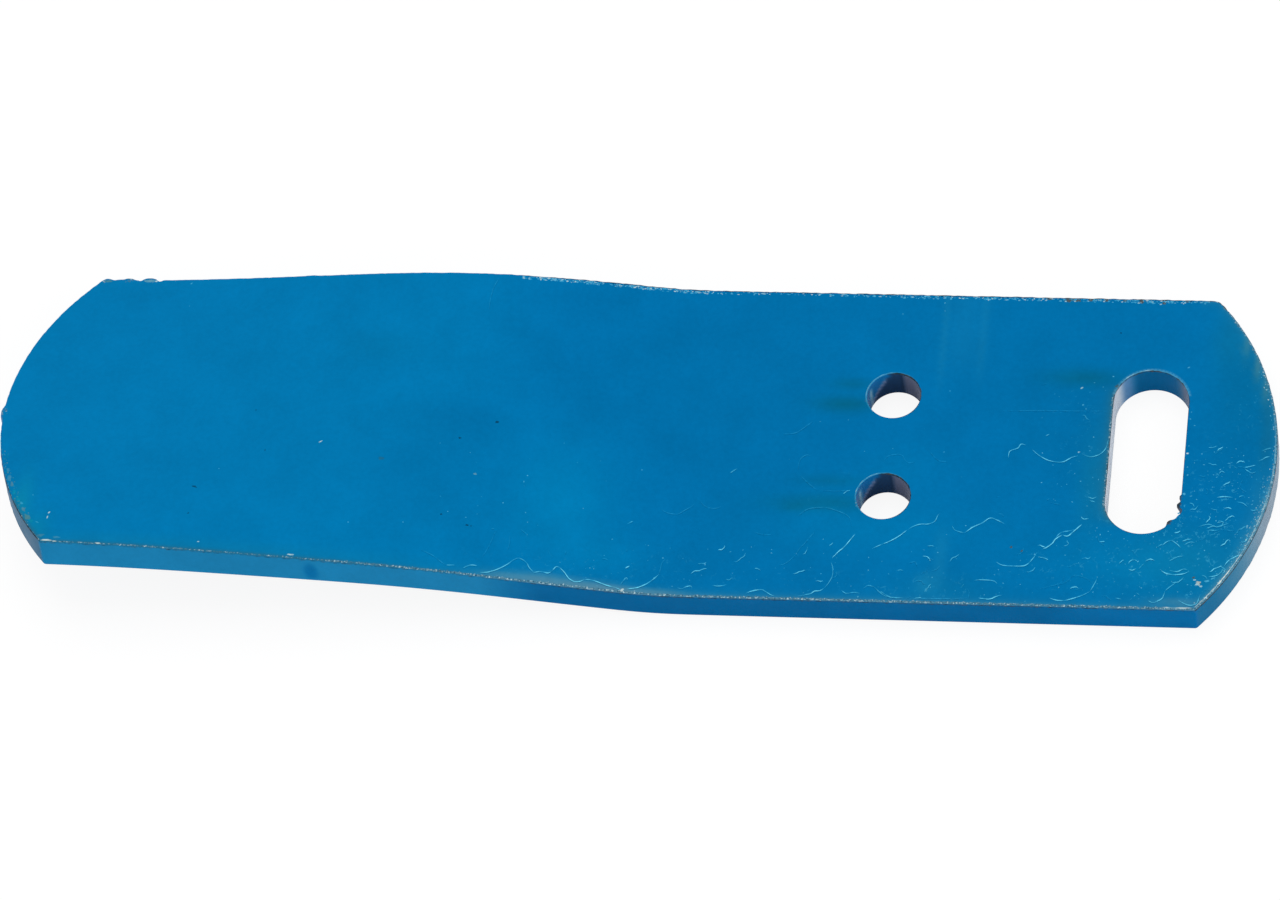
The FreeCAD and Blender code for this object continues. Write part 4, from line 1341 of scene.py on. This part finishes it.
def mesh_piece(name, places, faces, colours, material):
    mesh = bpy.data.meshes.new(name)
    mesh.from_pydata(np.clip(places * MM, *cad_box).tolist(), [], faces)
    attribute = mesh.attributes.new("paint", "FLOAT_COLOR", "POINT")
    values = np.concatenate([linear(colours), np.ones((len(colours), 1))], axis=1)
    attribute.data.foreach_set("color", values.astype(np.float32).ravel())
    mesh.materials.append(material)
    piece = bpy.data.objects.new(name, mesh)
    bpy.context.scene.collection.objects.link(piece)
    return piece


def add_values(piece, name, values):
    attribute = piece.data.attributes.new(name, "FLOAT", "POINT")
    attribute.data.foreach_set("value", values.astype(np.float32))


flat, faces = build_skin()
strip = mesh_piece("worn_strip", bend(damage(flat)), faces, paint(flat), worn_enamel())
add_values(strip, "wear", wear(flat))
add_values(strip, "grime", grime(flat))
add_values(strip, "scratches", scratches(flat))
strip.data.shade_smooth()
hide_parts(NODE)
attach(strip, BODY)

marks = build_marks()
scuffs = mesh_piece("scuff_marks", bend(marks.flat), marks.faces, np.array(marks.tones), scuffed_paint())
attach(scuffs, BODY)

# The floor, the light and the camera

FLOOR_SIZE = 6.0
FLOOR_DROP = -0.0001
FLOOR_GLOW = 0.89
FLOOR_SHADE = 0.13
FLOOR_ALBEDO = 0.75
WORLD_LEVEL = 0.55

# Each lamp has a name, a place and a size in metres, and a power in watts
LAMPS = (
    ("overhead", (-0.3, 0.6, 1.6), 1.6, 11.5),
    ("front", (0.3, -1.9, 0.7), 1.4, 11.0),
    ("right", (2.0, -0.3, 0.8), 1.2, 7.0),
)


def make_floor():
    half = FLOOR_SIZE / 2
    mesh = bpy.data.meshes.new("floor")
    corners = [(-half, -half, FLOOR_DROP), (half, -half, FLOOR_DROP), (half, half, FLOOR_DROP), (-half, half, FLOOR_DROP)]
    mesh.from_pydata(corners, [], [(0, 1, 2, 3)])
    material = bpy.data.materials.new("pale_floor")
    material.use_nodes = True
    tree = material.node_tree
    tree.nodes.clear()
    plain = tree.nodes.new("ShaderNodeBsdfDiffuse")
    plain.inputs["Color"].default_value = (FLOOR_ALBEDO,) * 3 + (1,)
    dim = tree.nodes.new("ShaderNodeBsdfDiffuse")
    dim.inputs["Color"].default_value = (FLOOR_SHADE,) * 3 + (1,)
    glow = tree.nodes.new("ShaderNodeEmission")
    glow.inputs["Strength"].default_value = FLOOR_GLOW
    seen_floor = tree.nodes.new("ShaderNodeAddShader")
    tree.links.new(dim.outputs[0], seen_floor.inputs[0])
    tree.links.new(glow.outputs[0], seen_floor.inputs[1])
    both = tree.nodes.new("ShaderNodeMixShader")
    tree.links.new(background_share(tree), both.inputs[0])
    tree.links.new(plain.outputs[0], both.inputs[1])
    tree.links.new(seen_floor.outputs[0], both.inputs[2])
    output = tree.nodes.new("ShaderNodeOutputMaterial")
    tree.links.new(both.outputs[0], output.inputs["Surface"])
    mesh.materials.append(material)
    floor = bpy.data.objects.new("floor", mesh)
    bpy.context.scene.collection.objects.link(floor)


def light_world():
    world = bpy.data.worlds.new("studio")
    bpy.context.scene.world = world
    world.use_nodes = True
    tree = world.node_tree
    tree.nodes.clear()
    level = tree.nodes.new("ShaderNodeBackground")
    level.inputs["Strength"].default_value = WORLD_LEVEL
    white = tree.nodes.new("ShaderNodeBackground")
    for background in (level, white):
        background.inputs["Color"].default_value = (1, 1, 1, 1)
    both = tree.nodes.new("ShaderNodeMixShader")
    tree.links.new(background_share(tree), both.inputs[0])
    tree.links.new(level.outputs[0], both.inputs[1])
    tree.links.new(white.outputs[0], both.inputs[2])
    output = tree.nodes.new("ShaderNodeOutputWorld")
    tree.links.new(both.outputs[0], output.inputs["Surface"])


def add_lamp(name, place, size, power):
    data = bpy.data.lights.new(name, "AREA")
    data.shape = "DISK"
    data.size = size
    data.energy = power
    lamp = bpy.data.objects.new(name, data)
    lamp.location = place
    lamp.rotation_euler = (-Vector(place)).to_track_quat("-Z", "Y").to_euler()
    bpy.context.scene.collection.objects.link(lamp)


def place_camera():
    data = bpy.data.cameras.new("camera")
    data.sensor_width = SENSOR_WIDTH
    data.lens = SENSOR_WIDTH * FOCAL_PIXELS / FRAME_WIDTH
    camera = bpy.data.objects.new("camera", data)
    bpy.context.scene.collection.objects.link(camera)
    axes = Matrix((CAMERA_RIGHT, -CAMERA_DOWN, -CAMERA_AHEAD)).transposed().to_4x4()
    camera.matrix_world = Matrix.Translation(CAMERA_PLACE * MM) @ axes
    bpy.context.scene.camera = camera


make_floor()
light_world()
for lamp_settings in LAMPS:
    add_lamp(*lamp_settings)
place_camera()
bpy.context.scene.view_settings.view_transform = "Standard"
